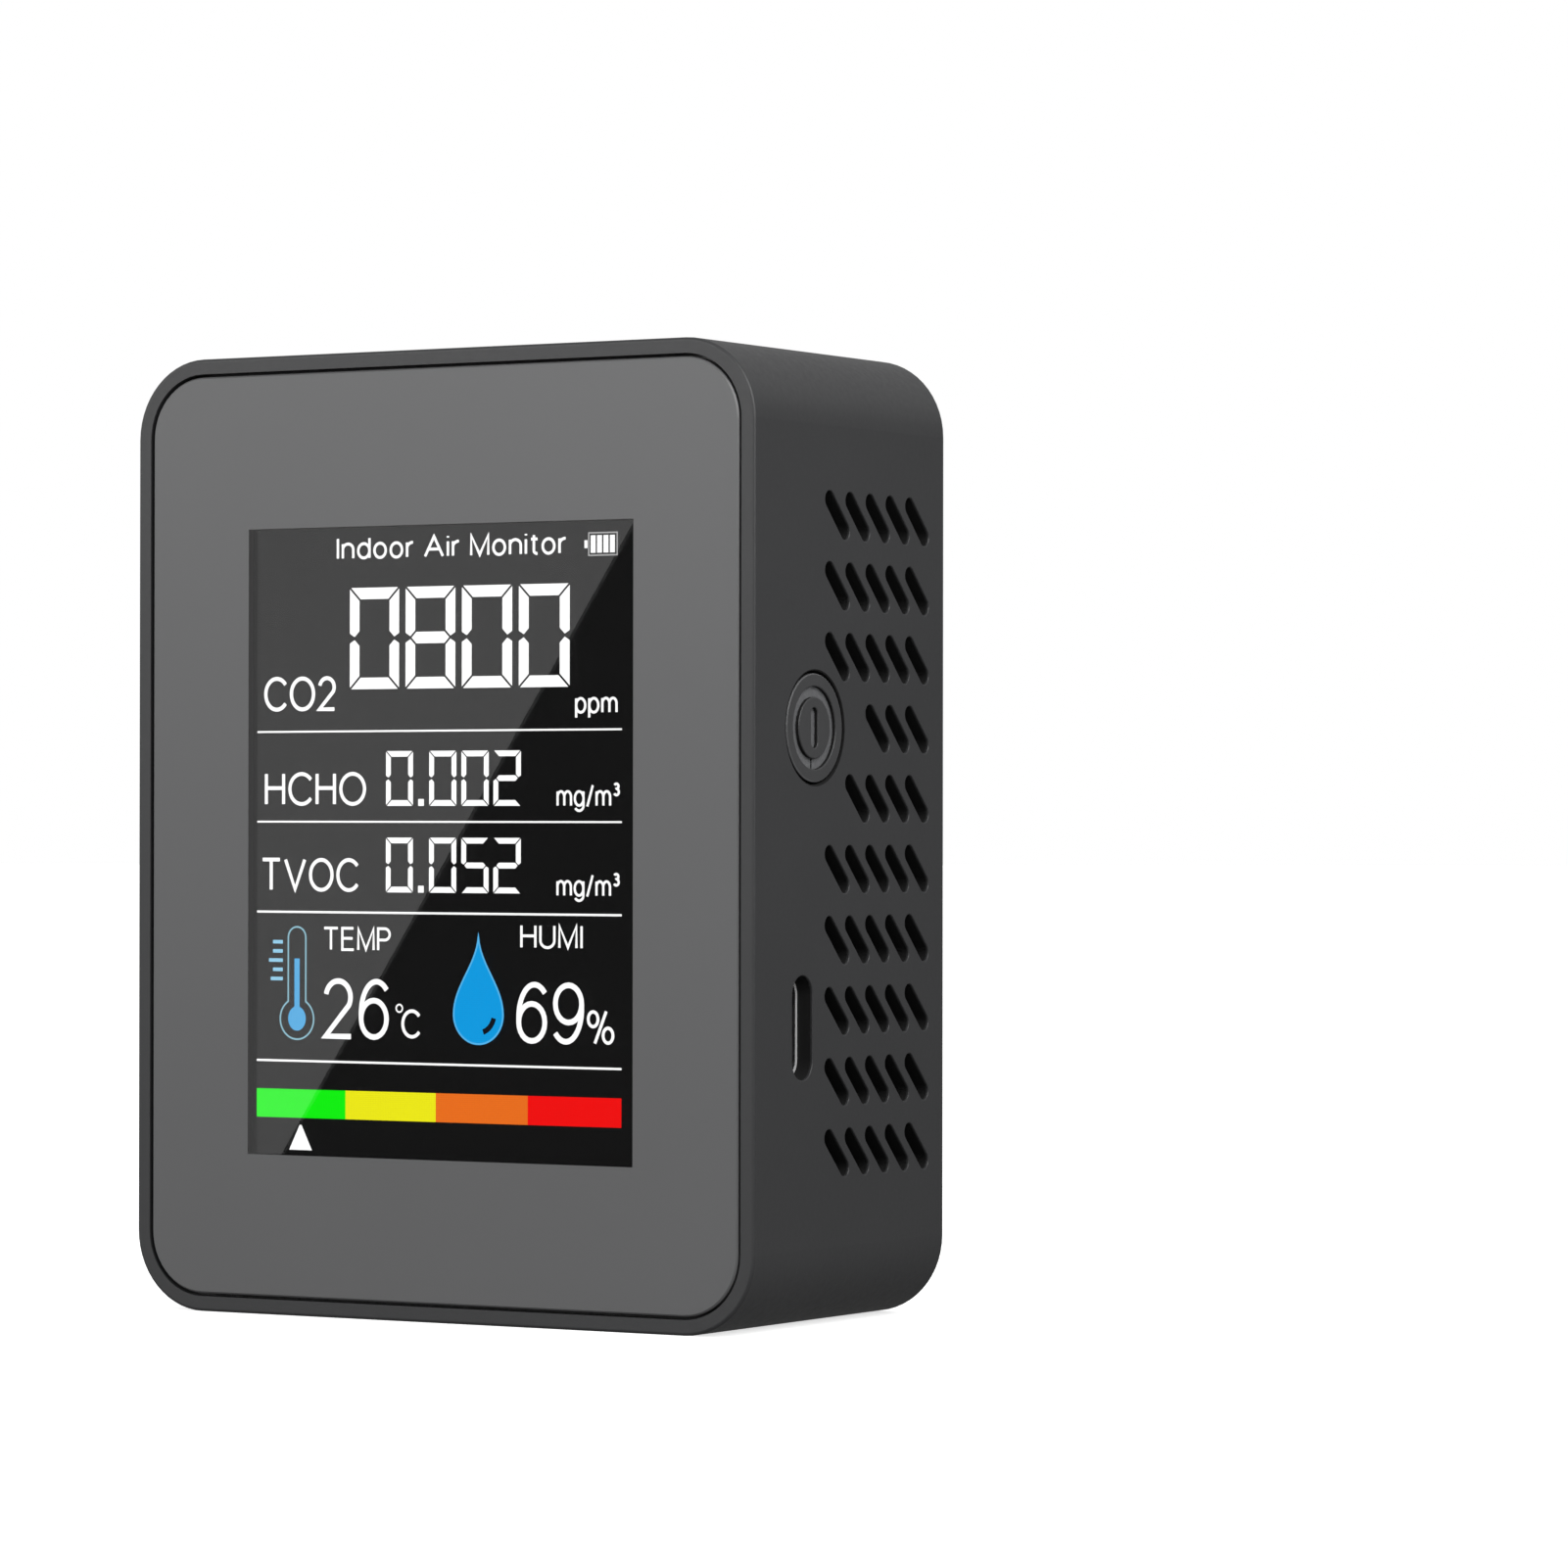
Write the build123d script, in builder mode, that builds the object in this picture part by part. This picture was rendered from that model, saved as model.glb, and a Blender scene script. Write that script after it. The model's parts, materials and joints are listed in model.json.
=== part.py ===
"""A desk-top carbon dioxide monitor.

A moulded casing holds a flush front panel over a 2.8 inch screen. Slanted vents let air through both sides, the
right side has a round power button and a USB-C socket, and a screwed cover closes the back. Inside are the
screen, the main board, the gas and humidity sensors and a pouch battery.

Millimetres. X runs across the front, Y from the front to the back, and Z up. The origin is on the surface that
the monitor stands on, under the middle of the casing.
"""

import os

from build123d import *

os.makedirs("parts", exist_ok=True)

# ---- driving dimensions --------------------------------------------------------------------------------------

# Casing
WIDTH, DEPTH, HEIGHT = 67.0, 33.8, 88.0
CORNER = 7.3  # outer radius of the casing's corners, seen from the front
EDGE = 0.3  # rounding of the front and back rims
WALL = 1.8
RIM = 1.4  # width of the front rim around the panel
SIDE = WIDTH / 2
FRONT, BACK = -DEPTH / 2, DEPTH / 2
MID_Z = HEIGHT / 2

# Front panel and its window
PANEL_GAP = 0.3
PANEL_T = 1.2
PANEL_W, PANEL_H = WIDTH - 2 * (RIM + PANEL_GAP), HEIGHT - 2 * (RIM + PANEL_GAP)
PANEL_R = CORNER - RIM - PANEL_GAP
PANEL_BEVEL = 0.15
WINDOW_W, WINDOW_H, WINDOW_Z = 41.8, 57.4, 43.4
PANEL_BACK = FRONT + PANEL_T
TAPE_T, TAPE_INSET = 0.2, 0.5
LEDGE = PANEL_BACK + TAPE_T
BULKHEAD_T = 1.5
BULKHEAD_BACK = LEDGE + BULKHEAD_T

# Screen module, front to back: polariser, two sheets of glass, backlight, foam tape
LCD_W, LCD_H = 50.0, 69.2
LCD_BOTTOM = 6.4
LCD_Z = LCD_BOTTOM + LCD_H / 2
LCD_GAP = 0.3  # around the module, in the bulkhead's opening
GLASS_INSET = 0.3
POLARISER_W, POLARISER_H, POLARISER_T = 46.0, 60.4, 0.2
GLASS_T = 0.5
GLASS_LEDGE = 6.6  # height of rear glass left bare below the front glass
DRIVER_W, DRIVER_H, DRIVER_T, DRIVER_RISE = 20.0, 0.9, 0.35, 5.4
LIGHT_T, LIGHT_RIM, LIGHT_SKIN, LIGHT_R = 1.3, 2.0, 0.3, 0.6
GUIDE_INSET, GUIDE_GAP = 0.2, 0.05
FOAM_W, FOAM_H, FOAM_T, FOAM_BAND = 46.0, 56.0, 1.45, 4.0
FOAM_Z = MID_Z + 2
LCD_FRONT = PANEL_BACK + 0.1
GLASS_FRONT = LCD_FRONT + POLARISER_T
GLASS_MIDDLE = GLASS_FRONT + GLASS_T
GLASS_BACK = GLASS_MIDDLE + GLASS_T
LCD_BACK = GLASS_BACK + LIGHT_T
FLEX_W, FLEX_T = 22.0, 0.12
FLEX_ROOM = 4.0  # height of the room for its bend, and how much wider that room is
FLEX_ON_GLASS, FLEX_ON_BOARD, FLEX_DROP = 3.6, 6.4, 0.2

# Main board
PCB_W, PCB_H, PCB_T = 60.0, 80.0, 1.6
PCB_FRONT = LCD_BACK + FOAM_T
PCB_BACK = PCB_FRONT + PCB_T
PCB_POST_R, PCB_POST_DEPTH = 2.1, 3.2
PCB_POSTS = [(x, z) for x in (-27.8, 27.8) for z in (16.0, 70.0)]

# Rear cover and its screw posts, one in each corner of the casing
COVER_T, COVER_GAP, COVER_SET_BACK = 2.2, 0.15, 0.3
COVER_BACK = BACK - COVER_SET_BACK
COVER_FRONT = COVER_BACK - COVER_T
POST_R, POST_ROOM = 2.8, 0.7
POST_INSET = 5.2  # from the casing's outer faces to a post's centre
POST_X, POST_STEP_Z = SIDE - POST_INSET, HEIGHT - 2 * POST_INSET
COVER_POSTS = [(x, z) for x in (-POST_X, POST_X) for z in (POST_INSET, HEIGHT - POST_INSET)]
COUNTERBORE_R, COUNTERBORE_DEPTH = 2.05, 1.3
LABEL_W, LABEL_H, LABEL_R, LABEL_DEPTH = 38.0, 26.0, 1.5, 0.2
LABEL_Z = 32.0

# M2 pan-head screws, with plain shanks in place of threads
SHANK_R, POST_HOLE_R, CLEARANCE_R = 0.98, 1.0, 1.15
HEAD_R, HEAD_T = 1.8, 1.2
HEAD_ROUND = 0.6
CROSS_L, CROSS_W, CROSS_DEPTH = 2.0, 0.45, 0.7
COVER_SCREW_L, PCB_SCREW_L = 7.0, 4.4

# Vents: slanted slots whose tops lean to the front
VENT_L, VENT_W, VENT_SLANT = 5.45, 1.6, -45
VENT_ROWS, VENT_COLUMNS = 10, 5
VENT_STEP_Y, VENT_STEP_Z = 3.6, 6.34
VENT_FRONT_Y, VENT_MID_Z = FRONT + 14.34, 44.2
VENT_EDGE = 0.12
BESIDE_BUTTON = {3: 2, 4: 1}  # row, counted from the top: slots left out at its front end

# Power button, in the right side
BUTTON_Y, BUTTON_Z = FRONT + 10.4, 53.65
BUTTON_HOLE_R, BUTTON_R = 5.1, 4.85
BUTTON_RECESS, BUTTON_EDGE = 0.05, 0.12
BUTTON_TRAVEL = 0.3
FLANGE_R, FLANGE_T, FLANGE_FLAT = 5.9, 0.8, 5.2
RING_OUTER, RING_INNER, RING_DEPTH = 3.7, 2.75, 0.4
NICK_W, NICK_DEPTH = 0.25, 0.2
BAR_L, BAR_W = 3.6, 1.1
STEM_R = 2.0
KEY_T, KEY_L, KEY_REACH, KEY_GAP = 1.0, 6.0, 1.1, 0.15

# Side-push switch behind the button
SWITCH_FACE, SWITCH_DEPTH, SWITCH_H = 27.2, 3.2, 6.0  # x of its face, size along X, size along Z
SWITCH_TOP = BUTTON_Y + 3.1
SWITCH_BORE_R, SWITCH_FLOOR = 2.5, 0.5
SWITCH_COVER_T, SWITCH_COVER_HOLE_R = 0.3, 1.8
PLUNGER_R, PLUNGER_TIP, PLUNGER_FOOT_R, PLUNGER_FOOT_L = 1.65, 29.0, 1.0, 0.8
COLLAR_R, COLLAR_T = 2.3, 0.9
PLUNGER_PLAY = 0.1  # between its collar and the switch's cover
DOME_PLAY, STEM_PLAY = 0.05, 0.03
DOME_R, DOME_H, DOME_T = 2.1, 0.9, 0.12
SWITCH_LEGS = [(x, BUTTON_Z + z) for x in (24.7, 26.7) for z in (-2.25, 2.25)]
SWITCH_LEG_W, SWITCH_LEG_T, SWITCH_LEG_HOLE_R = 0.7, 0.3, 0.55

# USB-C socket, standing on the back of the main board at its right edge
USB_W, USB_H, USB_L, USB_WALL = 8.94, 3.16, 7.35, 0.3
USB_Y, USB_Z = PCB_BACK + USB_H / 2, 27.0
USB_MOUTH = SIDE - 1.6  # the socket stands back in its slot
USB_SLOT_W, USB_SLOT_H, USB_SLOT_Y = 9.3, 3.5, FRONT + 8.28
USB_FIT = 0.02  # around the insulator, in the shell
USB_BLOCK_L, TONGUE_W, TONGUE_T, TONGUE_SET_BACK = 2.0, 6.69, 0.7, 0.8
CONTACT_COUNT, CONTACT_STEP, CONTACT_W, CONTACT_L, CONTACT_T = 12, 0.5, 0.25, 3.8, 0.05
USB_LEGS = [(x, USB_Z + side * (USB_W - USB_WALL) / 2) for x in (26.6, 29.0) for side in (-1, 1)]
LEG_W, LEG_T, LEG_REACH, LEG_ROOM = 1.0, 0.3, 0.5, 0.2

# Battery, taped to the rear cover inside a low frame
CELL_X, CELL_Z = -6.0, 34.5
CELL_W, CELL_T, CELL_H, CELL_ROUND = 30.0, 10.0, 37.0, 2.2
CELL_TAPE_T, CELL_TAPE_W, CELL_TAPE_H = 0.5, 24.0, 29.0
CELL_BACK = COVER_FRONT - CELL_TAPE_T
CELL_FRONT = CELL_BACK - CELL_T
CELL_TOP = CELL_Z + CELL_H / 2
CELL_BOARD_W, CELL_BOARD_T, CELL_BOARD_H, CELL_BOARD_R = 27.0, 4.0, 3.0, 0.8
FRAME_GAP, FRAME_T, FRAME_REACH = 0.3, 1.2, 3.0

# Battery leads, plug and socket
LEAD_R = 0.6
LEAD_XS = {"battery_lead_red": -9.0, "battery_lead_black": -11.0}
PLUG_X, PLUG_Z = -10.0, 62.2
PLUG_W, PLUG_T, PLUG_H, PLUG_BEVEL = 4.9, 3.8, 8.0, 0.3
SOCKET_W, SOCKET_T, SOCKET_H, SOCKET_FLOOR = 6.1, 4.8, 7.6, 1.0
SOCKET_ROOM = 0.1  # around the plug
LEAD_TOP = 77.0
LEAD_BENDS = [9.0, 6.2]

# Gas sensor board, on a pin header
GAS_W, GAS_H, GAS_T, GAS_X, GAS_Z = 24.0, 18.0, 1.2, 13.0, 70.5
HEADER_T, HEADER_STEP, PIN_COUNT, PIN_W = 2.5, 2.54, 4, 0.64
PIN_HOLE_R, PIN_REACH = 0.5, 0.6
HEADER_Z = GAS_Z - GAS_H / 2 + 2.2
GAS_FRONT = PCB_BACK + HEADER_T
GAS_BACK = GAS_FRONT + GAS_T
CAN_X, CAN_Z, CAN_R, CAN_H, CAN_WALL, CAN_MOUTH_R = 17.0, 72.5, 4.7, 5.5, 0.3, 3.3
CAN_FLANGE_R, CAN_FLANGE_T, CAN_ROUND, CAN_FIT = 5.3, 0.5, 0.5, 0.05
BASE_T, BEAD_W, BEAD_T = 1.2, 2.4, 0.8
GAS_CHIP_W, GAS_CHIP_T, GAS_CHIP_X, GAS_CHIP_Z = 5.0, 1.0, GAS_X - 7.0, GAS_Z + 2.0
MESH_T, MESH_HOLE_R, MESH_STEP, MESH_RINGS = 0.15, 0.24, 0.8, 3

# Humidity sensor, on a tongue of the main board that a milled slot keeps cool
HUMIDITY_X, HUMIDITY_Z, HUMIDITY_W, HUMIDITY_T = 19.0, 10.5, 2.5, 0.9
TONGUE_SLOT_W, TONGUE_SLOT_SIZE = 1.0, 8.0
SENSOR_HOLE_R = 0.5

# Chips and small parts on the back of the main board
MCU_X, MCU_Z, MCU_W, MCU_T = -14.0, 34.0, 7.0, 1.4
MCU_LEADS, MCU_LEAD_STEP, MCU_LEAD_W, MCU_LEAD_L, MCU_LEAD_T = 12, 0.5, 0.22, 1.0, 0.15
POWER_CHIPS = [(12.0, 26.0), (12.0, 36.0)]
POWER_CHIP_SIZE = (4.9, 3.9, 1.5)
COIL_X, COIL_Z, COIL_W, COIL_T, COIL_R = 3.0, 26.0, 4.0, 2.0, 0.6
COIL_GROOVE_OUTER, COIL_GROOVE_INNER, COIL_GROOVE_DEPTH = 1.6, 1.2, 0.2
CRYSTAL_X, CRYSTAL_Z, CRYSTAL_W, CRYSTAL_H, CRYSTAL_T = -14.0, 43.0, 3.2, 2.5, 0.7
CAPACITOR_SIZE, RESISTOR_SIZE = (1.6, 0.8, 0.8), (1.0, 0.5, 0.35)


# ---- planes and shared shapes --------------------------------------------------------------------------------


def across(y):
    """The upright plane at depth y that faces the front: its x is X and its y is Z."""
    return Plane(origin=(0, y, 0), x_dir=(1, 0, 0), z_dir=(0, -1, 0))


def beside(x):
    """The upright plane at x that faces right: its x is Y and its y is Z."""
    return Plane(origin=(x, 0, 0), x_dir=(0, 1, 0), z_dir=(1, 0, 0))


def level(z):
    """The level plane at height z: its x is X and its y is Y."""
    return Plane.XY.offset(z)


def plate(y_front, y_back, centre, size, round_r=0.0):
    """A flat sheet across the monitor, with rounded corners if round_r is given."""
    with BuildPart() as made:
        with BuildSketch(across(y_back)):
            with Locations(centre):
                if round_r:
                    RectangleRounded(*size, round_r)
                else:
                    Rectangle(*size)
        extrude(amount=y_back - y_front)
    return made


def on_board(places, size, thickness, turned=False):
    """Small blocks that stand on the back of the main board, one at each (x, z)."""
    with BuildPart() as made:
        with BuildSketch(across(PCB_BACK)):
            with Locations(*places):
                Rectangle(*(reversed(size) if turned else size))
        extrude(amount=-thickness)
    return made


def pan_screws(places, seat_y, length):
    """Pan-head screws driven in towards the front, with the undersides of their heads at seat_y."""
    with BuildPart() as made:
        with BuildSketch(across(seat_y)):
            with Locations(*places):
                Circle(HEAD_R)
        extrude(amount=-HEAD_T)
        fillet(made.edges().group_by(Axis.Y)[-1], HEAD_ROUND)
        with BuildSketch(across(seat_y)):
            with Locations(*places):
                Circle(SHANK_R)
        extrude(amount=length)
        chamfer(made.edges().group_by(Axis.Y)[0], SHANK_R / 3)
        with BuildSketch(across(seat_y + HEAD_T)):
            with Locations(*places):
                Rectangle(CROSS_L, CROSS_W)
                Rectangle(CROSS_W, CROSS_L)
        extrude(amount=CROSS_DEPTH, mode=Mode.SUBTRACT)
    return made


def vent_places(left_out):
    """(y, z) of each vent, row by row from the top, without the first slots of the rows in left_out."""
    rows = [VENT_MID_Z + ((VENT_ROWS - 1) / 2 - row) * VENT_STEP_Z for row in range(VENT_ROWS)]
    return [
        (VENT_FRONT_Y + column * VENT_STEP_Y, z)
        for row, z in enumerate(rows)
        for column in range(left_out.get(row, 0), VENT_COLUMNS)
    ]


# ---- casing --------------------------------------------------------------------------------------------------

with BuildPart() as main_shell:
    with BuildSketch(across(BACK)):
        with Locations((0, MID_Z)):
            RectangleRounded(WIDTH, HEIGHT, CORNER)
    extrude(amount=DEPTH)
    fillet(main_shell.faces().filter_by(Axis.Y).edges(), EDGE)
    # Recess for the front panel
    with BuildSketch(across(LEDGE)):
        with Locations((0, MID_Z)):
            RectangleRounded(WIDTH - 2 * RIM, HEIGHT - 2 * RIM, CORNER - RIM)
    extrude(amount=LEDGE - FRONT, mode=Mode.SUBTRACT)
    # Hollow behind the bulkhead
    with BuildSketch(across(BACK)):
        with Locations((0, MID_Z)):
            RectangleRounded(WIDTH - 2 * WALL, HEIGHT - 2 * WALL, CORNER - WALL)
    extrude(amount=BACK - BULKHEAD_BACK, mode=Mode.SUBTRACT)
    # Opening for the screen, with room below it for the bend of its flexible lead
    with BuildSketch(across(BULKHEAD_BACK)):
        with Locations((0, LCD_Z)):
            Rectangle(LCD_W + 2 * LCD_GAP, LCD_H + 2 * LCD_GAP)
        with Locations((0, LCD_BOTTOM)):
            Rectangle(FLEX_W + FLEX_ROOM, FLEX_ROOM)
    extrude(amount=BULKHEAD_T, mode=Mode.SUBTRACT)
    # Posts for the rear cover's screws and for the main board's screws
    with BuildSketch(across(COVER_FRONT)):
        with Locations(*COVER_POSTS):
            Circle(POST_R)
    extrude(amount=COVER_FRONT - BULKHEAD_BACK)
    with BuildSketch(across(PCB_FRONT)):
        with Locations(*PCB_POSTS):
            Circle(PCB_POST_R)
    extrude(amount=PCB_FRONT - BULKHEAD_BACK)
    with BuildSketch(across(COVER_FRONT)):
        with Locations(*COVER_POSTS):
            Circle(POST_HOLE_R)
    extrude(amount=COVER_SCREW_L, mode=Mode.SUBTRACT)
    with BuildSketch(across(PCB_FRONT)):
        with Locations(*PCB_POSTS):
            Circle(POST_HOLE_R)
    extrude(amount=PCB_POST_DEPTH, mode=Mode.SUBTRACT)
    # Rib along the flat of the power button's flange
    with BuildSketch(beside(SIDE - WALL)):
        with Locations((BUTTON_Y - FLANGE_FLAT - KEY_GAP - KEY_T / 2, BUTTON_Z)):
            Rectangle(KEY_T, KEY_L)
    extrude(amount=-KEY_REACH)
    # Right side: vents, power button and USB-C socket
    with BuildSketch(beside(SIDE)):
        with Locations(*vent_places(BESIDE_BUTTON)):
            SlotOverall(VENT_L, VENT_W, rotation=VENT_SLANT)
        with Locations((BUTTON_Y, BUTTON_Z)):
            Circle(BUTTON_HOLE_R)
        with Locations((USB_SLOT_Y, USB_Z)):
            SlotOverall(USB_SLOT_W, USB_SLOT_H, rotation=90)
    extrude(amount=-WALL, mode=Mode.SUBTRACT)
    # Left side: the same vents, with none left out
    with BuildSketch(beside(-SIDE)):
        with Locations(*vent_places({})):
            SlotOverall(VENT_L, VENT_W, rotation=VENT_SLANT)
    extrude(amount=WALL, mode=Mode.SUBTRACT)
    for outer_face in (main_shell.faces().sort_by(Axis.X)[0], main_shell.faces().sort_by(Axis.X)[-1]):
        fillet([edge for wire in outer_face.inner_wires() for edge in wire.edges()], VENT_EDGE)

with BuildPart() as rear_cover:
    with BuildSketch(across(COVER_BACK)):
        with Locations((0, MID_Z)):
            RectangleRounded(
                WIDTH - 2 * (WALL + COVER_GAP), HEIGHT - 2 * (WALL + COVER_GAP), CORNER - WALL - COVER_GAP
            )
    extrude(amount=COVER_T)
    chamfer(rear_cover.faces().sort_by(Axis.Y)[-1].edges(), COVER_GAP)
    with Locations(rear_cover.faces().sort_by(Axis.Y)[-1]):
        with GridLocations(2 * POST_X, POST_STEP_Z, 2, 2):
            CounterBoreHole(CLEARANCE_R, COUNTERBORE_R, COUNTERBORE_DEPTH)
    # Shallow recess for a label
    with BuildSketch(across(COVER_BACK)):
        with Locations((0, LABEL_Z)):
            RectangleRounded(LABEL_W, LABEL_H, LABEL_R)
    extrude(amount=LABEL_DEPTH, mode=Mode.SUBTRACT)
    # Low frame around the battery
    with BuildSketch(across(COVER_FRONT)):
        with Locations((CELL_X, CELL_Z)):
            Rectangle(CELL_W + 2 * (FRAME_GAP + FRAME_T), CELL_H + 2 * (FRAME_GAP + FRAME_T))
            Rectangle(CELL_W + 2 * FRAME_GAP, CELL_H + 2 * FRAME_GAP, mode=Mode.SUBTRACT)
    extrude(amount=FRAME_REACH)

cover_screws = pan_screws(COVER_POSTS, COVER_BACK - COUNTERBORE_DEPTH, COVER_SCREW_L)

# ---- front panel ---------------------------------------------------------------------------------------------

with BuildPart() as front_panel:
    with BuildSketch(across(PANEL_BACK)):
        with Locations((0, MID_Z)):
            RectangleRounded(PANEL_W, PANEL_H, PANEL_R)
    extrude(amount=PANEL_T)
    chamfer(front_panel.faces().sort_by(Axis.Y)[0].edges(), PANEL_BEVEL)
    with BuildSketch(across(PANEL_BACK)):
        with Locations((0, WINDOW_Z)):
            Rectangle(WINDOW_W, WINDOW_H)
    extrude(amount=PANEL_T, mode=Mode.SUBTRACT)

display_window = plate(FRONT, PANEL_BACK, (0, WINDOW_Z), (WINDOW_W, WINDOW_H))

with BuildPart() as panel_tape:
    with BuildSketch(across(LEDGE)):
        with Locations((0, MID_Z)):
            RectangleRounded(PANEL_W - 2 * TAPE_INSET, PANEL_H - 2 * TAPE_INSET, PANEL_R - TAPE_INSET)
        with Locations((0, LCD_Z)):
            Rectangle(LCD_W + 2 * TAPE_INSET, LCD_H + 2 * TAPE_INSET, mode=Mode.SUBTRACT)
        with Locations((0, LCD_BOTTOM)):
            Rectangle(
                FLEX_W + FLEX_ROOM + 2 * TAPE_INSET, FLEX_ROOM + 2 * TAPE_INSET, mode=Mode.SUBTRACT
            )
    extrude(amount=TAPE_T)

# ---- screen module -------------------------------------------------------------------------------------------

GLASS_W, GLASS_H = LCD_W - 2 * GLASS_INSET, LCD_H - 2 * GLASS_INSET
lcd_polariser = plate(LCD_FRONT, GLASS_FRONT, (0, WINDOW_Z), (POLARISER_W, POLARISER_H))
lcd_front_glass = plate(
    GLASS_FRONT, GLASS_MIDDLE, (0, LCD_Z + GLASS_LEDGE / 2), (GLASS_W, GLASS_H - GLASS_LEDGE)
)
lcd_rear_glass = plate(GLASS_MIDDLE, GLASS_BACK, (0, LCD_Z), (GLASS_W, GLASS_H))
lcd_driver_chip = plate(
    GLASS_MIDDLE - DRIVER_T, GLASS_MIDDLE, (0, LCD_BOTTOM + DRIVER_RISE), (DRIVER_W, DRIVER_H)
)

with BuildPart() as lcd_backlight_frame:
    with BuildSketch(across(LCD_BACK)):
        with Locations((0, LCD_Z)):
            RectangleRounded(LCD_W, LCD_H, LIGHT_R)
    extrude(amount=LIGHT_T)
    with BuildSketch(across(LCD_BACK - LIGHT_SKIN)):
        with Locations((0, LCD_Z)):
            Rectangle(LCD_W - 2 * LIGHT_RIM, LCD_H - 2 * LIGHT_RIM)
    extrude(amount=LIGHT_T, mode=Mode.SUBTRACT)

lcd_light_guide = plate(
    GLASS_BACK + GUIDE_GAP,
    LCD_BACK - LIGHT_SKIN - GUIDE_GAP,
    (0, LCD_Z),
    (LCD_W - 2 * (LIGHT_RIM + GUIDE_INSET), LCD_H - 2 * (LIGHT_RIM + GUIDE_INSET)),
)

# The flexible lead comes off the rear glass, bends back under the screen and up the front of the main board.
with BuildPart() as lcd_flex:
    with BuildSketch(beside(-FLEX_W / 2)):
        with BuildLine():
            glass_side, board_side = GLASS_MIDDLE - FLEX_T / 2, PCB_FRONT - FLEX_T / 2
            bend_z = LCD_BOTTOM - FLEX_DROP
            Line((glass_side, LCD_BOTTOM + FLEX_ON_GLASS), (glass_side, bend_z))
            ThreePointArc(
                (glass_side, bend_z),
                ((glass_side + board_side) / 2, bend_z - (board_side - glass_side) / 2),
                (board_side, bend_z),
            )
            Line((board_side, bend_z), (board_side, LCD_BOTTOM + FLEX_ON_BOARD))
        trace(line_width=FLEX_T)
    extrude(amount=FLEX_W)

with BuildPart() as lcd_foam_tape:
    with BuildSketch(across(PCB_FRONT)):
        with Locations((0, FOAM_Z)):
            Rectangle(FOAM_W, FOAM_H)
            Rectangle(FOAM_W - 2 * FOAM_BAND, FOAM_H - 2 * FOAM_BAND, mode=Mode.SUBTRACT)
    extrude(amount=FOAM_T)

# ---- main board ----------------------------------------------------------------------------------------------

with BuildPart() as main_board:
    with BuildSketch(across(PCB_BACK)):
        with Locations((0, MID_Z)):
            Rectangle(PCB_W, PCB_H)
        # Room for the rear cover's posts
        with Locations(*COVER_POSTS):
            Rectangle(2 * (POST_R + POST_ROOM), 2 * (POST_R + POST_ROOM), mode=Mode.SUBTRACT)
        with Locations(*PCB_POSTS):
            Circle(CLEARANCE_R, mode=Mode.SUBTRACT)
        with Locations(*SWITCH_LEGS):
            Circle(SWITCH_LEG_HOLE_R, mode=Mode.SUBTRACT)
        with Locations(*USB_LEGS):
            Rectangle(LEG_W + 2 * LEG_ROOM, LEG_T + 2 * LEG_ROOM, mode=Mode.SUBTRACT)
        with Locations((GAS_X, HEADER_Z)):
            with GridLocations(HEADER_STEP, 1, PIN_COUNT, 1):
                Circle(PIN_HOLE_R, mode=Mode.SUBTRACT)
        # Milled slot on three sides of the humidity sensor
        with Locations((HUMIDITY_X, HUMIDITY_Z + TONGUE_SLOT_SIZE / 2)):
            Rectangle(TONGUE_SLOT_SIZE, TONGUE_SLOT_W, mode=Mode.SUBTRACT)
        with Locations(
            *[(HUMIDITY_X + side * (TONGUE_SLOT_SIZE - TONGUE_SLOT_W) / 2, HUMIDITY_Z) for side in (-1, 1)]
        ):
            Rectangle(TONGUE_SLOT_W, TONGUE_SLOT_SIZE + TONGUE_SLOT_W, mode=Mode.SUBTRACT)
    extrude(amount=PCB_T)

board_screws = pan_screws(PCB_POSTS, PCB_BACK, PCB_SCREW_L)

microcontroller = on_board([(MCU_X, MCU_Z)], (MCU_W, MCU_W), MCU_T)

with BuildPart() as microcontroller_leads:
    reach = (MCU_W + MCU_LEAD_L) / 2
    with BuildSketch(across(PCB_BACK)):
        for step_x, step_z in ((reach, 0), (0, reach)):
            for side in (-1, 1):
                with Locations((MCU_X + side * step_x, MCU_Z + side * step_z)):
                    if step_x:
                        with GridLocations(1, MCU_LEAD_STEP, 1, MCU_LEADS):
                            Rectangle(MCU_LEAD_L, MCU_LEAD_W)
                    else:
                        with GridLocations(MCU_LEAD_STEP, 1, MCU_LEADS, 1):
                            Rectangle(MCU_LEAD_W, MCU_LEAD_L)
    extrude(amount=-MCU_LEAD_T)

power_chips = on_board(POWER_CHIPS, POWER_CHIP_SIZE[:2], POWER_CHIP_SIZE[2])
crystal = on_board([(CRYSTAL_X, CRYSTAL_Z)], (CRYSTAL_W, CRYSTAL_H), CRYSTAL_T)

with BuildPart() as power_coil:
    with BuildSketch(across(PCB_BACK)):
        with Locations((COIL_X, COIL_Z)):
            RectangleRounded(COIL_W, COIL_W, COIL_R)
    extrude(amount=-COIL_T)
    with BuildSketch(across(PCB_BACK + COIL_T)):
        with Locations((COIL_X, COIL_Z)):
            Circle(COIL_GROOVE_OUTER)
            Circle(COIL_GROOVE_INNER, mode=Mode.SUBTRACT)
    extrude(amount=COIL_GROOVE_DEPTH, mode=Mode.SUBTRACT)

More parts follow.
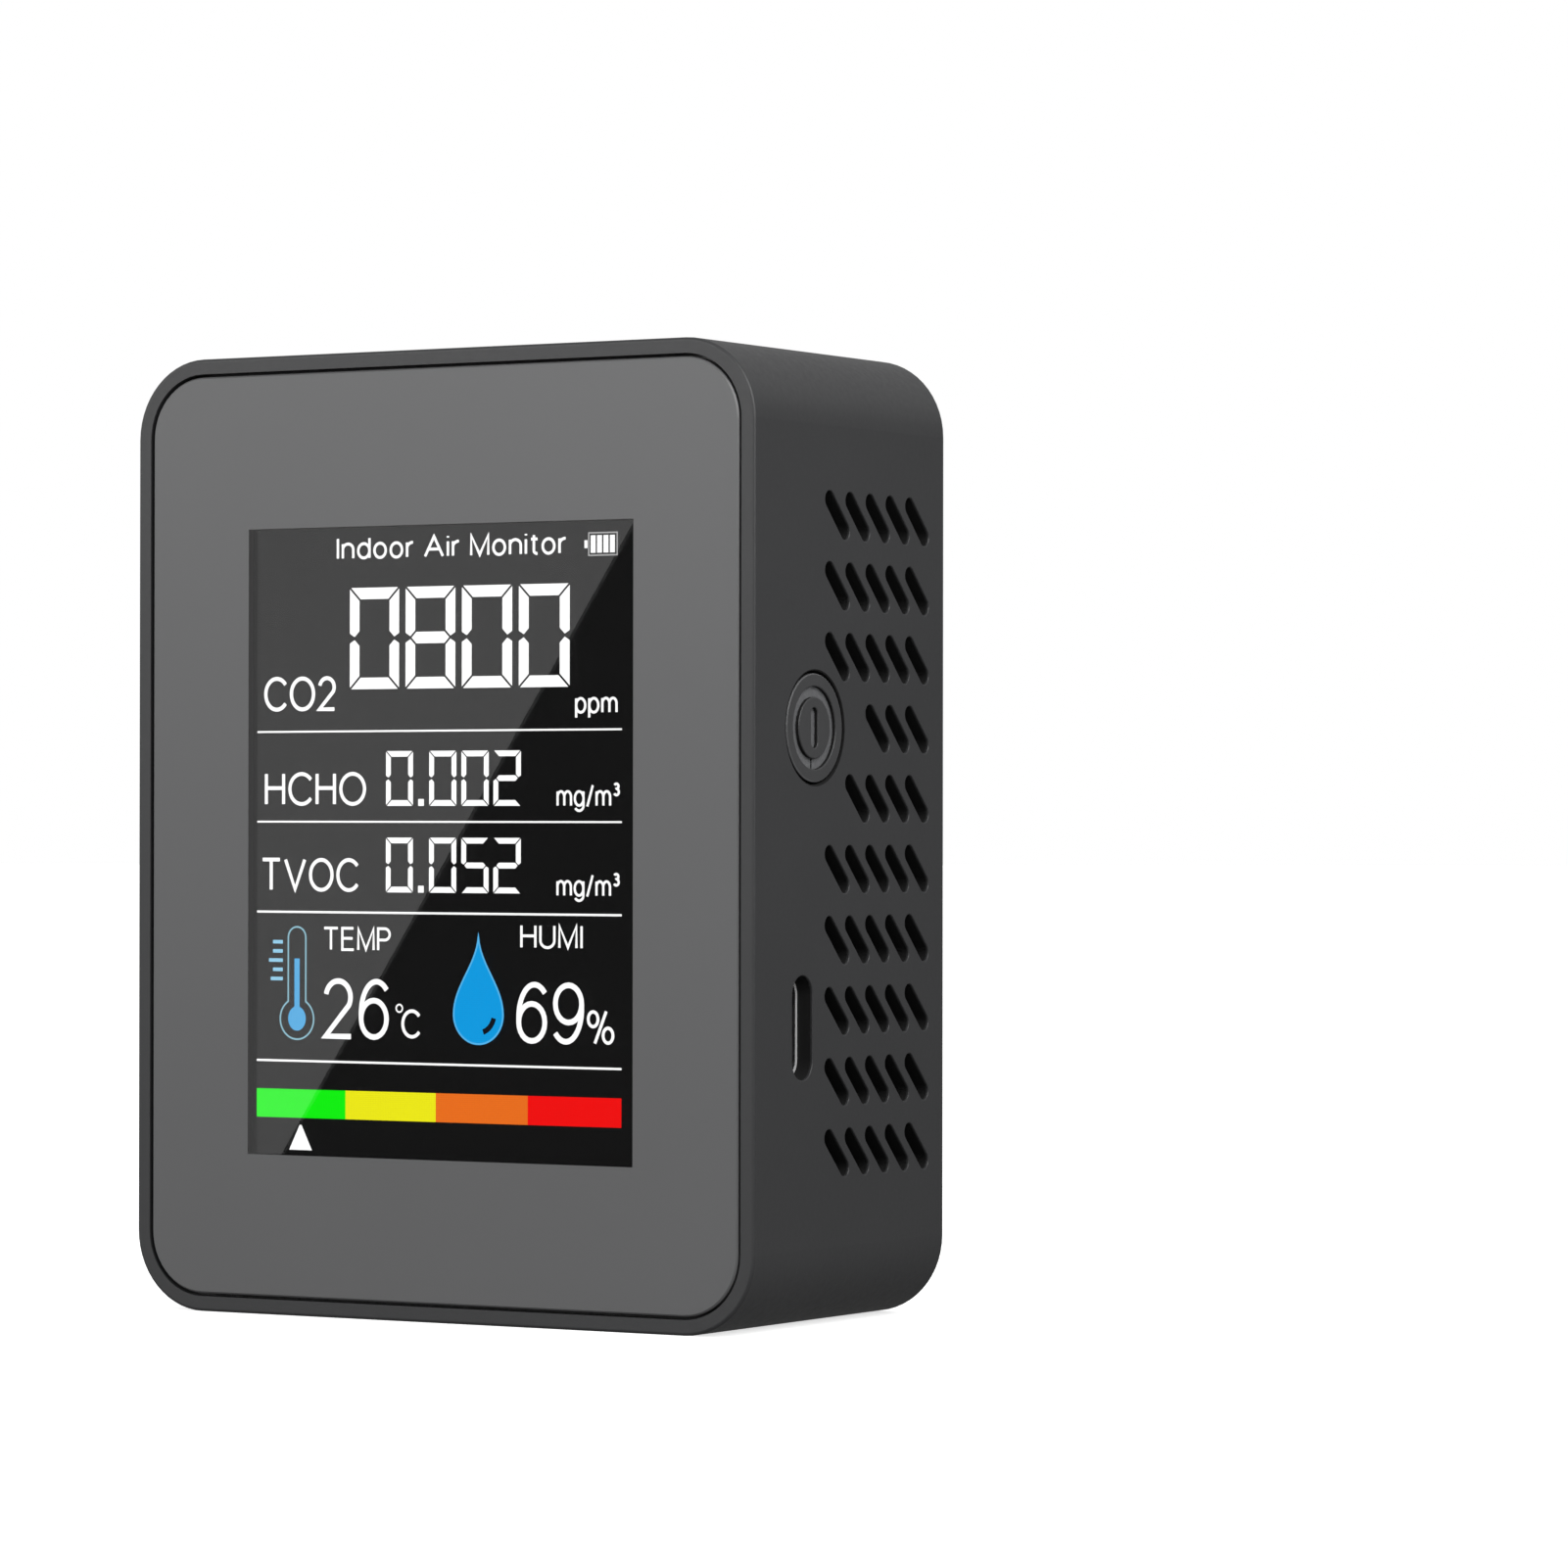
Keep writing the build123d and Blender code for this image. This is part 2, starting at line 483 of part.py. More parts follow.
capacitors = on_board(
    [(MCU_X + x, MCU_Z + z) for x in (-8.0, 8.0) for z in (-6.0, -2.0, 2.0, 6.0)]
    + [(COIL_X + x, COIL_Z + z) for x in (-4.5, 4.5) for z in (-3.0, 3.0)],
    CAPACITOR_SIZE[:2],
    CAPACITOR_SIZE[2],
)
resistors = on_board(
    [(MCU_X + x, MCU_Z - 9.0) for x in (-6.0, -3.0, 0.0, 3.0, 6.0)]
    + [(POWER_CHIPS[0][0] + x, 31.0) for x in (-3.0, 0.0, 3.0)]
    + [(20.0, z) for z in (48.0, 51.0, 56.0, 59.0)],
    RESISTOR_SIZE[:2],
    RESISTOR_SIZE[2],
)

with BuildPart() as humidity_sensor:
    with BuildSketch(across(PCB_BACK)):
        with Locations((HUMIDITY_X, HUMIDITY_Z)):
            Rectangle(HUMIDITY_W, HUMIDITY_W)
    extrude(amount=-HUMIDITY_T)
    with BuildSketch(across(PCB_BACK + HUMIDITY_T)):
        with Locations((HUMIDITY_X, HUMIDITY_Z)):
            Circle(SENSOR_HOLE_R)
    extrude(amount=HUMIDITY_T / 2, mode=Mode.SUBTRACT)

# ---- power button and switch ---------------------------------------------------------------------------------

FLANGE_FACE = SIDE - WALL - BUTTON_RECESS
STEM_END = PLUNGER_TIP + STEM_PLAY

with BuildPart() as power_button:
    with BuildSketch(beside(SIDE - BUTTON_RECESS)):
        with Locations((BUTTON_Y, BUTTON_Z)):
            Circle(BUTTON_R)
    extrude(amount=FLANGE_FACE - (SIDE - BUTTON_RECESS))
    # Engraved sign: a ring with a bar inside it
    with BuildSketch(beside(SIDE - BUTTON_RECESS)):
        with Locations((BUTTON_Y, BUTTON_Z)):
            Circle(RING_OUTER)
            Circle(RING_INNER, mode=Mode.SUBTRACT)
            SlotOverall(BAR_L, BAR_W, rotation=90)
    extrude(amount=-RING_DEPTH, mode=Mode.SUBTRACT)
    fillet(power_button.edges().group_by(Axis.X)[-1], BUTTON_EDGE)
    # Nick across the ring's floor, under the bar
    with BuildSketch(beside(SIDE - BUTTON_RECESS - RING_DEPTH)):
        with Locations((BUTTON_Y, BUTTON_Z - (RING_OUTER + RING_INNER) / 2)):
            Rectangle(NICK_W, RING_OUTER - RING_INNER)
    extrude(amount=-NICK_DEPTH, mode=Mode.SUBTRACT)
    # Flange behind the casing's wall, with a flat towards the front, and the stem that pushes the switch
    with BuildSketch(beside(FLANGE_FACE)):
        with Locations((BUTTON_Y, BUTTON_Z)):
            Circle(FLANGE_R)
        with Locations((BUTTON_Y - FLANGE_FLAT - FLANGE_R / 2, BUTTON_Z)):
            Rectangle(FLANGE_R, 2 * FLANGE_R, mode=Mode.SUBTRACT)
    extrude(amount=-FLANGE_T)
    with BuildSketch(beside(FLANGE_FACE - FLANGE_T)):
        with Locations((BUTTON_Y, BUTTON_Z)):
            Circle(STEM_R)
    extrude(amount=STEM_END - (FLANGE_FACE - FLANGE_T))

with BuildPart() as switch_housing:
    with BuildSketch(beside(SWITCH_FACE)):
        with Locations(((PCB_BACK + SWITCH_TOP) / 2, BUTTON_Z)):
            Rectangle(SWITCH_TOP - PCB_BACK, SWITCH_H)
    extrude(amount=-SWITCH_DEPTH)
    with BuildSketch(beside(SWITCH_FACE)):
        with Locations((BUTTON_Y, BUTTON_Z)):
            Circle(SWITCH_BORE_R)
    extrude(amount=SWITCH_FLOOR - SWITCH_DEPTH, mode=Mode.SUBTRACT)

with BuildPart() as switch_cover:
    with BuildSketch(beside(SWITCH_FACE)):
        with Locations(((PCB_BACK + SWITCH_TOP) / 2, BUTTON_Z)):
            Rectangle(SWITCH_TOP - PCB_BACK, SWITCH_H)
        with Locations((BUTTON_Y, BUTTON_Z)):
            Circle(SWITCH_COVER_HOLE_R, mode=Mode.SUBTRACT)
    extrude(amount=SWITCH_COVER_T)

DOME_BASE = SWITCH_FACE - SWITCH_DEPTH + SWITCH_FLOOR
DOME_CREST = DOME_BASE + DOME_H

with BuildPart() as switch_dome:
    with BuildSketch(Plane(origin=(0, BUTTON_Y, BUTTON_Z), x_dir=(1, 0, 0), z_dir=(0, -1, 0))):
        with BuildLine():
            outer = RadiusArc(
                (DOME_CREST, 0), (DOME_BASE, DOME_R), -(DOME_R**2 + DOME_H**2) / (2 * DOME_H)
            )
            foot = Line(outer @ 1, (DOME_BASE, DOME_R - DOME_T))
            inner = RadiusArc(
                foot @ 1,
                (DOME_CREST - DOME_T, 0),
                ((DOME_R - DOME_T) ** 2 + (DOME_H - DOME_T) ** 2) / (2 * (DOME_H - DOME_T)),
            )
            Line(inner @ 1, outer @ 0)
        make_face()
    revolve(axis=Axis((0, BUTTON_Y, BUTTON_Z), (1, 0, 0)))

with BuildPart() as switch_plunger:
    collar_face = SWITCH_FACE - PLUNGER_PLAY
    with BuildSketch(beside(DOME_CREST + DOME_PLAY)):
        with Locations((BUTTON_Y, BUTTON_Z)):
            Circle(PLUNGER_FOOT_R)
    extrude(amount=PLUNGER_FOOT_L)
    with BuildSketch(beside(collar_face)):
        with Locations((BUTTON_Y, BUTTON_Z)):
            Circle(COLLAR_R)
    extrude(amount=-COLLAR_T)
    with BuildSketch(beside(collar_face)):
        with Locations((BUTTON_Y, BUTTON_Z)):
            Circle(PLUNGER_R)
    extrude(amount=PLUNGER_TIP - collar_face)

with BuildPart() as switch_legs:
    with BuildSketch(across(PCB_BACK)):
        with Locations(*SWITCH_LEGS):
            Rectangle(SWITCH_LEG_W, SWITCH_LEG_T)
    extrude(amount=PCB_T + LEG_REACH)

# ---- USB-C socket --------------------------------------------------------------------------------------------

with BuildPart() as usb_shell:
    with BuildSketch(beside(USB_MOUTH)):
        with Locations((USB_Y, USB_Z)):
            SlotOverall(USB_W, USB_H, rotation=90)
            SlotOverall(USB_W - 2 * USB_WALL, USB_H - 2 * USB_WALL, rotation=90, mode=Mode.SUBTRACT)
    extrude(amount=-USB_L)
    # Legs through the main board
    with BuildSketch(across(USB_Y)):
        with Locations(*USB_LEGS):
            Rectangle(LEG_W, LEG_T)
    extrude(amount=USB_Y - PCB_FRONT + LEG_REACH)

with BuildPart() as usb_insulator:
    with BuildSketch(beside(USB_MOUTH - USB_L)):
        with Locations((USB_Y, USB_Z)):
            SlotOverall(
                USB_W - 2 * (USB_WALL + USB_FIT), USB_H - 2 * (USB_WALL + USB_FIT), rotation=90
            )
    extrude(amount=USB_BLOCK_L)
    with BuildSketch(beside(USB_MOUTH - USB_L + USB_BLOCK_L)):
        with Locations((USB_Y, USB_Z)):
            Rectangle(TONGUE_T, TONGUE_W)
    extrude(amount=USB_L - USB_BLOCK_L - TONGUE_SET_BACK)

with BuildPart() as usb_contacts:
    with BuildSketch(beside(USB_MOUTH - USB_L + USB_BLOCK_L)):
        with Locations((USB_Y, USB_Z)):
            with GridLocations(TONGUE_T + CONTACT_T, CONTACT_STEP, 2, CONTACT_COUNT):
                Rectangle(CONTACT_T, CONTACT_W)
    extrude(amount=CONTACT_L)

# ---- battery -------------------------------------------------------------------------------------------------

with BuildPart() as battery_cell:
    with BuildSketch(across(CELL_BACK)):
        with Locations((CELL_X, CELL_Z)):
            Rectangle(CELL_W, CELL_H)
    extrude(amount=CELL_T)
    fillet(battery_cell.edges().filter_by(Axis.Z), CELL_ROUND)
    fillet(battery_cell.edges().filter_by(Axis.X), CELL_ROUND / 2)

battery_tape = plate(CELL_BACK, COVER_FRONT, (CELL_X, CELL_Z), (CELL_TAPE_W, CELL_TAPE_H))

CELL_MID_Y = (CELL_FRONT + CELL_BACK) / 2
battery_board = plate(
    CELL_MID_Y - CELL_BOARD_T / 2,
    CELL_MID_Y + CELL_BOARD_T / 2,
    (CELL_X, CELL_TOP + CELL_BOARD_H / 2),
    (CELL_BOARD_W, CELL_BOARD_H),
    CELL_BOARD_R,
)

PLUG_Y = PCB_BACK + SOCKET_T / 2
with BuildPart() as battery_socket:
    socket_z = PLUG_Z - SOCKET_FLOOR - SOCKET_ROOM
    with BuildSketch(level(socket_z)):
        with Locations((PLUG_X, PLUG_Y)):
            Rectangle(SOCKET_W, SOCKET_T)
    extrude(amount=SOCKET_H)
    with BuildSketch(level(socket_z + SOCKET_FLOOR)):
        with Locations((PLUG_X, PLUG_Y)):
            Rectangle(PLUG_W + 2 * SOCKET_ROOM, PLUG_T + 2 * SOCKET_ROOM)
    extrude(amount=SOCKET_H, mode=Mode.SUBTRACT)

with BuildPart() as battery_plug:
    with BuildSketch(level(PLUG_Z)):
        with Locations((PLUG_X, PLUG_Y)):
            Rectangle(PLUG_W, PLUG_T)
    extrude(amount=PLUG_H)
    chamfer(battery_plug.edges().group_by(Axis.Z)[-1], PLUG_BEVEL)


def battery_lead(x):
    """One lead: up from the battery's own board, over in an arch, and down into the plug."""
    with BuildPart() as made:
        with BuildLine():
            route = FilletPolyline(
                (x, CELL_MID_Y, CELL_TOP + CELL_BOARD_H),
                (x, CELL_MID_Y, LEAD_TOP),
                (x, PLUG_Y, LEAD_TOP),
                (x, PLUG_Y, PLUG_Z + PLUG_H),
                radius=LEAD_BENDS,
            )
        with BuildSketch(Plane(origin=route @ 0, z_dir=route % 0)):
            Circle(LEAD_R)
        sweep()
    print(f"battery lead at x {x}: {route.length:.1f} long, bends {LEAD_BENDS}")
    return made


battery_leads = {name: battery_lead(x) for name, x in LEAD_XS.items()}

# ---- gas sensor ----------------------------------------------------------------------------------------------

with BuildPart() as gas_sensor_board:
    with BuildSketch(across(GAS_BACK)):
        with Locations((GAS_X, GAS_Z)):
            Rectangle(GAS_W, GAS_H)
        with Locations((GAS_X, HEADER_Z)):
            with GridLocations(HEADER_STEP, 1, PIN_COUNT, 1):
                Circle(PIN_HOLE_R, mode=Mode.SUBTRACT)
    extrude(amount=GAS_T)

with BuildPart() as sensor_header:
    with BuildSketch(across(GAS_FRONT)):
        with Locations((GAS_X, HEADER_Z)):
            Rectangle(PIN_COUNT * HEADER_STEP, HEADER_STEP)
            with GridLocations(HEADER_STEP, 1, PIN_COUNT, 1):
                Rectangle(PIN_W, PIN_W, mode=Mode.SUBTRACT)
    extrude(amount=HEADER_T)

with BuildPart() as sensor_pins:
    with BuildSketch(across(GAS_BACK + PIN_REACH)):
        with Locations((GAS_X, HEADER_Z)):
            with GridLocations(HEADER_STEP, 1, PIN_COUNT, 1):
                Rectangle(PIN_W, PIN_W)
    extrude(amount=GAS_BACK - PCB_FRONT + 2 * PIN_REACH)

CAN_BACK = GAS_BACK + CAN_H
with BuildPart() as gas_sensor_can:
    with BuildSketch(across(GAS_BACK)):
        with Locations((CAN_X, CAN_Z)):
            Circle(CAN_R)
    extrude(amount=-CAN_H)
    fillet(gas_sensor_can.edges().group_by(Axis.Y)[-1], CAN_ROUND)
    with BuildSketch(across(GAS_BACK)):
        with Locations((CAN_X, CAN_Z)):
            Circle(CAN_FLANGE_R)
    extrude(amount=-CAN_FLANGE_T)
    with BuildSketch(across(GAS_BACK)):
        with Locations((CAN_X, CAN_Z)):
            Circle(CAN_R - CAN_WALL)
    extrude(amount=CAN_WALL - CAN_H, mode=Mode.SUBTRACT)
    with BuildSketch(across(CAN_BACK)):
        with Locations((CAN_X, CAN_Z)):
            Circle(CAN_MOUTH_R)
    extrude(amount=CAN_WALL, mode=Mode.SUBTRACT)

with BuildPart() as gas_sensor_mesh:
    with BuildSketch(across(CAN_BACK - CAN_WALL)):
        with Locations((CAN_X, CAN_Z)):
            Circle(CAN_R - CAN_WALL - CAN_FIT)
            with HexLocations(MESH_STEP / 3**0.5, 2 * MESH_RINGS + 1, 2 * MESH_RINGS + 1):
                Circle(MESH_HOLE_R, mode=Mode.SUBTRACT)
    extrude(amount=MESH_T)

with BuildPart() as gas_sensor_base:
    with BuildSketch(across(GAS_BACK)):
        with Locations((CAN_X, CAN_Z)):
            Circle(CAN_R - CAN_WALL - CAN_FIT)
    extrude(amount=-BASE_T)

gas_sensor_bead = plate(
    GAS_BACK + BASE_T, GAS_BACK + BASE_T + BEAD_T, (CAN_X, CAN_Z), (BEAD_W, BEAD_W)
)

gas_sensor_chip = plate(
    GAS_BACK, GAS_BACK + GAS_CHIP_T, (GAS_CHIP_X, GAS_CHIP_Z), (GAS_CHIP_W, GAS_CHIP_W)
)

# ---- one STEP file for each piece ----------------------------------------------------------------------------

pieces = {
    "main_shell": main_shell,
    "rear_cover": rear_cover,
    "cover_screws": cover_screws,
    "front_panel": front_panel,
    "display_window": display_window,
    "panel_tape": panel_tape,
    "lcd_polariser": lcd_polariser,
    "lcd_front_glass": lcd_front_glass,
    "lcd_rear_glass": lcd_rear_glass,
    "lcd_driver_chip": lcd_driver_chip,
    "lcd_backlight_frame": lcd_backlight_frame,
    "lcd_light_guide": lcd_light_guide,
    "lcd_flex": lcd_flex,
    "lcd_foam_tape": lcd_foam_tape,
    "main_board": main_board,
    "board_screws": board_screws,
    "microcontroller": microcontroller,
    "microcontroller_leads": microcontroller_leads,
    "power_chips": power_chips,
    "power_coil": power_coil,
    "crystal": crystal,
    "capacitors": capacitors,
    "resistors": resistors,
    "humidity_sensor": humidity_sensor,
    "power_button": power_button,
    "switch_housing": switch_housing,
    "switch_cover": switch_cover,
    "switch_dome": switch_dome,
    "switch_plunger": switch_plunger,
    "switch_legs": switch_legs,
    "usb_shell": usb_shell,
    "usb_insulator": usb_insulator,
    "usb_contacts": usb_contacts,
    "battery_cell": battery_cell,
    "battery_tape": battery_tape,
    "battery_board": battery_board,
    "battery_socket": battery_socket,
    "battery_plug": battery_plug,
    **battery_leads,
    "gas_sensor_board": gas_sensor_board,
    "sensor_header": sensor_header,
    "sensor_pins": sensor_pins,
    "gas_sensor_can": gas_sensor_can,
    "gas_sensor_mesh": gas_sensor_mesh,
    "gas_sensor_base": gas_sensor_base,
    "gas_sensor_bead": gas_sensor_bead,
    "gas_sensor_chip": gas_sensor_chip,
}

for name, piece in pieces.items():
    piece.part.label = name
    export_step(piece.part, f"parts/{name}.step")
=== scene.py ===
"""The looks of a desk-top carbon dioxide monitor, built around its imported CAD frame.

Everything is in metres in the row frame: X across the front, Y from front to back, Z up. The sizes of the
screen's picture and of marks on a material are in millimetres, and MM turns them into metres.
"""

import json
import math

import bmesh
import bpy
from mathutils import Matrix, Vector


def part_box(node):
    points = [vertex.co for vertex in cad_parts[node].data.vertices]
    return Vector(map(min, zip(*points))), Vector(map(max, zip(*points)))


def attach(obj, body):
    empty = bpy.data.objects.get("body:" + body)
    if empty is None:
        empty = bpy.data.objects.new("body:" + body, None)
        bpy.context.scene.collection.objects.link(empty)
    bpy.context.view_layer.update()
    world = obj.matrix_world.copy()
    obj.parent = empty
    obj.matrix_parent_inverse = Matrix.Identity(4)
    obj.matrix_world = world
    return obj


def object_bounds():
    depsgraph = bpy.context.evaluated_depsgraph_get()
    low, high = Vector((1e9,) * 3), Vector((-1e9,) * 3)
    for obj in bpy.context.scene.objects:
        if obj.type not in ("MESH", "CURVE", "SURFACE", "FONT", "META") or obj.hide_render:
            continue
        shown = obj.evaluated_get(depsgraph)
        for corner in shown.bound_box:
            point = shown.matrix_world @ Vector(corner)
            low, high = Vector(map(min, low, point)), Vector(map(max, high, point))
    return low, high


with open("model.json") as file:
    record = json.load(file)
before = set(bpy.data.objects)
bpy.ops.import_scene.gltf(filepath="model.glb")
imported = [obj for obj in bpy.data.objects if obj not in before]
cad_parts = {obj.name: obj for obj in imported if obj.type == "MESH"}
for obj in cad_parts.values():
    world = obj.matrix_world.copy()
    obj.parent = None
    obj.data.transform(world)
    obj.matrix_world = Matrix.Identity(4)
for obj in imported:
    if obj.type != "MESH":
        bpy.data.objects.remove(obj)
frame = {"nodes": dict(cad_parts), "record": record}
nodes = frame["nodes"]
record = frame["record"]
cad_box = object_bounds()

MM = 0.001
BODY = "case"


# ---- camera ----

CAMERA_PLACE = Vector((0.31097, -0.47666, 0.04520))
CAMERA_YAW, CAMERA_PITCH, CAMERA_ROLL = (math.radians(a) for a in (30.838, 0.362, 0.076))
LENS, SENSOR = 140.95, 36.0


def add_camera():
    """A long lens to the right of the monitor, level with its middle."""
    looking = Vector(
        (
            -math.sin(CAMERA_YAW) * math.cos(CAMERA_PITCH),
            math.cos(CAMERA_YAW) * math.cos(CAMERA_PITCH),
            math.sin(CAMERA_PITCH),
        )
    )
    data = bpy.data.cameras.new("camera")
    data.lens, data.sensor_width = LENS, SENSOR
    data.clip_start, data.clip_end = 0.01, 20
    camera = bpy.data.objects.new("camera", data)
    turn = looking.to_track_quat("-Z", "Y").to_matrix().to_4x4() @ Matrix.Rotation(CAMERA_ROLL, 4, "Z")
    camera.matrix_world = Matrix.Translation(CAMERA_PLACE) @ turn
    bpy.context.scene.collection.objects.link(camera)
    bpy.context.scene.camera = camera


# ---- mesh helpers ----

MITRE_LIMIT = 2.2  # how far a sharp corner of a stroke may reach, as a multiple of half its width
MEETING = 1e-6  # points closer than this are the same point


def add_mesh(name, made, material):
    """A new object of a finished bmesh."""
    data = bpy.data.meshes.new(name)
    made.to_mesh(data)
    made.free()
    data.materials.append(material)
    piece = bpy.data.objects.new(name, data)
    bpy.context.scene.collection.objects.link(piece)
    return piece


def box_outline(x, z, width, height):
    """A rectangle from its lower left corner."""
    return [(x, z), (x + width, z), (x + width, z + height), (x, z + height)]


def arc(x, z, radius_x, radius_z, start=0, end=360, steps=24):
    """Points on an arc of an ellipse, with its angles in degrees, anticlockwise from +X."""
    angles = [math.radians(start + (end - start) * i / steps) for i in range(steps + 1)]
    return [(x + radius_x * math.cos(a), z + radius_z * math.sin(a)) for a in angles]


def add_loops(made, loops, closed):
    """Joins rings of four vertices into a bar, with caps unless it closes on itself."""
    pairs = list(zip(loops, loops[1:])) + ([(loops[-1], loops[0])] if closed else [])
    for a, b in pairs:
        for i in range(4):
            j = (i + 1) % 4
            made.faces.new((a[i], a[j], b[j], b[i]))
    if not closed:
        made.faces.new(reversed(loops[0]))
        made.faces.new(loops[-1])


def add_stroke(made, points, width, y, thickness):
    """A flat line of that width along points (x, z), mitred at its corners. It closes if its ends meet."""
    closed = math.dist(points[0], points[-1]) < MEETING
    if closed:
        points = points[:-1]
    count = len(points)
    loops = []
    for i, (x, z) in enumerate(points):
        before = points[i - 1] if closed or i > 0 else None
        after = points[(i + 1) % count] if closed or i < count - 1 else None
        ways = []
        if before:
            ways.append(Vector((x - before[0], z - before[1])).normalized())
        if after:
            ways.append(Vector((after[0] - x, after[1] - z)).normalized())
        sides = [Vector((-way.y, way.x)) for way in ways]
        across = sum(sides, Vector((0, 0))).normalized()
        across *= width / 2 / max(1 / MITRE_LIMIT, across.dot(sides[0]))
        left, right = (x + across.x, z + across.y), (x - across.x, z - across.y)
        places = [(*left, 0), (*right, 0), (*right, thickness), (*left, thickness)]
        loops.append([made.verts.new((px * MM, y + depth, pz * MM)) for px, pz, depth in places])
    add_loops(made, loops, closed)


def add_slab(made, outline, y, thickness):
    """A flat closed shape that faces the front."""
    front = [made.verts.new((x * MM, y, z * MM)) for x, z in outline]
    back = [made.verts.new((x * MM, y + thickness, z * MM)) for x, z in outline]
    made.faces.new(front)
    made.faces.new(reversed(back))
    for i in range(len(outline)):
        j = (i + 1) % len(outline)
        made.faces.new((front[j], front[i], back[i], back[j]))


# ---- materials ----

NOISE_LOW, NOISE_HIGH = 0.3, 0.7  # most of a noise lies between these
PANEL_GREY = (0.122, 0.123, 0.125)
# Painted shade: the near-black put on holes, recesses and hidden walls
PAINTED_SHADE_BLACK = (0.003, 0.003, 0.003)
SMOKE = 0.36  # the share of light that the window lets through

# The casing, in millimetres, bounding its painted shade: the skin of its sides that counts as outside, its
# rim's depth at the front, and how far its top and bottom reach inwards
SKIN, RIM_DEPTH, END_DEPTH = 0.15, 1.6, 8.0
# The power button, in millimetres: its hole, its cap and its engraved sign
# HOLE_WALL is how far the casing's painted shade reaches past the button's hole
HOLE_R, HOLE_WALL = 5.1, 0.14
# CAP_EDGE is the band at the cap's edge that gets a painted highlight
CAP_R, CAP_EDGE = 4.85, 0.12
SIGN_R, SIGN_DEPTH = 3.7, 0.4


class Look:
    """A procedural material: one Principled shader, and short calls that add detail to it."""

    def __init__(self, name, colour, roughness, **sockets):
        self.material = bpy.data.materials.new(name)
        self.material.use_nodes = True
        self.nodes = self.material.node_tree.nodes
        self.links = self.material.node_tree.links
        self.shader = self.nodes["Principled BSDF"]
        self.colour = colour
        self.shader.inputs["Base Color"].default_value = (*colour, 1)
        self.shader.inputs["Roughness"].default_value = roughness
        for socket, value in sockets.items():
            self.shader.inputs[socket.replace("_", " ")].default_value = value
        self.relief = None
        self.millimetres = self.place()

    def add(self, kind, links=None, **settings):
        """A new node, with its settings, its sockets' values or what feeds them."""
        node = self.nodes.new(kind)
        for key, value in settings.items():
            setattr(node, key, value)
        for socket, source in (links or {}).items():
            if isinstance(source, bpy.types.NodeSocket):
                self.links.new(source, node.inputs[socket])
            else:
                node.inputs[socket].default_value = source
        return node

    def place(self):
        """The point on the piece, in millimetres in the row frame."""
        scaled = {"Vector": self.add("ShaderNodeTexCoord").outputs["Object"], "Scale": (1 / MM,) * 3}
        return self.add("ShaderNodeMapping", scaled).outputs["Vector"]

    def stretched(self, scale):
        return self.add("ShaderNodeMapping", {"Vector": self.millimetres, "Scale": scale}).outputs["Vector"]

    def noise(self, per_mm, detail=3.0, roughness=0.55, stretch=None, distortion=0.0):
        """Noise from 0 to 1, with features of about 1 / per_mm millimetres."""
        where = self.stretched(stretch) if stretch else self.millimetres
        values = {"Vector": where, "Scale": per_mm, "Detail": detail, "Roughness": roughness}
        return self.add("ShaderNodeTexNoise", {**values, "Distortion": distortion}).outputs["Fac"]

    def grains(self, per_mm, **settings):
        """Distance within round cells of about 1 / per_mm millimetres."""
        return self.add(
            "ShaderNodeTexVoronoi", {"Vector": self.millimetres, "Scale": per_mm}, **settings
        ).outputs["Distance"]

    def ranged(self, value, low, high, to_low, to_high):
        """value, taken from low to high, as to_low to to_high."""
        links = {"Value": value, "From Min": low, "From Max": high, "To Min": to_low, "To Max": to_high}
        return self.add("ShaderNodeMapRange", links).outputs["Result"]

    def drifting(self, noise, low, high):
        """A value that drifts from low to high with the noise."""
        return self.ranged(noise, NOISE_LOW, NOISE_HIGH, low, high)

    def past(self, value, edge, step):
        """A mask: 0 up to the edge, and 1 from a step past it. A negative step counts downwards."""
        return self.ranged(value, edge, edge + step, 0, 1)

    def opposite(self, mask):
        return self.ranged(mask, 0, 1, 1, 0)

    def axes(self):
        """The point's X, Y and Z, in millimetres in the row frame."""
        return self.add("ShaderNodeSeparateXYZ", {"Vector": self.millimetres}).outputs

    def mixed(self, fac, first, second):
        """first where fac is 0 and second where it is 1. Each is a colour or a socket."""
        node = self.add("ShaderNodeMix", {"Factor": fac}, data_type="RGBA")
        for index, colour in ((6, first), (7, second)):
            if isinstance(colour, bpy.types.NodeSocket):
                self.links.new(colour, node.inputs[index])
            else:
                node.inputs[index].default_value = (*colour, 1)
        return node.outputs[2]

    def from_button(self):
        """The distance from the power button's axis."""
        low, high = (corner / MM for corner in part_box("power_button"))
        centre_z = (low.z + high.z) / 2
        centre_y = high.y - (high.z - low.z) / 2
        values = {0: self.stretched((0, 1, 1)), 1: (0, centre_y, centre_z)}
        return self.add("ShaderNodeVectorMath", values, operation="DISTANCE").outputs["Value"]

    def all_of(self, *masks):
        """1 only where every mask is 1."""
        product = masks[0]
        for mask in masks[1:]:
            product = self.add("ShaderNodeMath", {0: product, 1: mask}, operation="MULTIPLY").outputs[0]
        return product

    def either(self, first, second):
        """The larger of two masks."""
        return self.add("ShaderNodeMath", {0: first, 1: second}, operation="MAXIMUM").outputs[0]

    def blended(self, fac, first, second):
        """A value that goes from first to second as fac goes from 0 to 1."""
        return self.add("ShaderNodeMix", {0: fac, 2: first, 3: second}).outputs[0]

    def vary(self, fac, amount):
        """Lets the colour drift by that share either way."""
        darker = [c * (1 - amount) for c in self.colour]
        lighter = [min(1, c * (1 + amount)) for c in self.colour]
        return self.paint(self.mixed(fac, darker, lighter))

    def paint(self, colour):
        self.links.new(colour, self.shader.inputs["Base Color"])
        return self

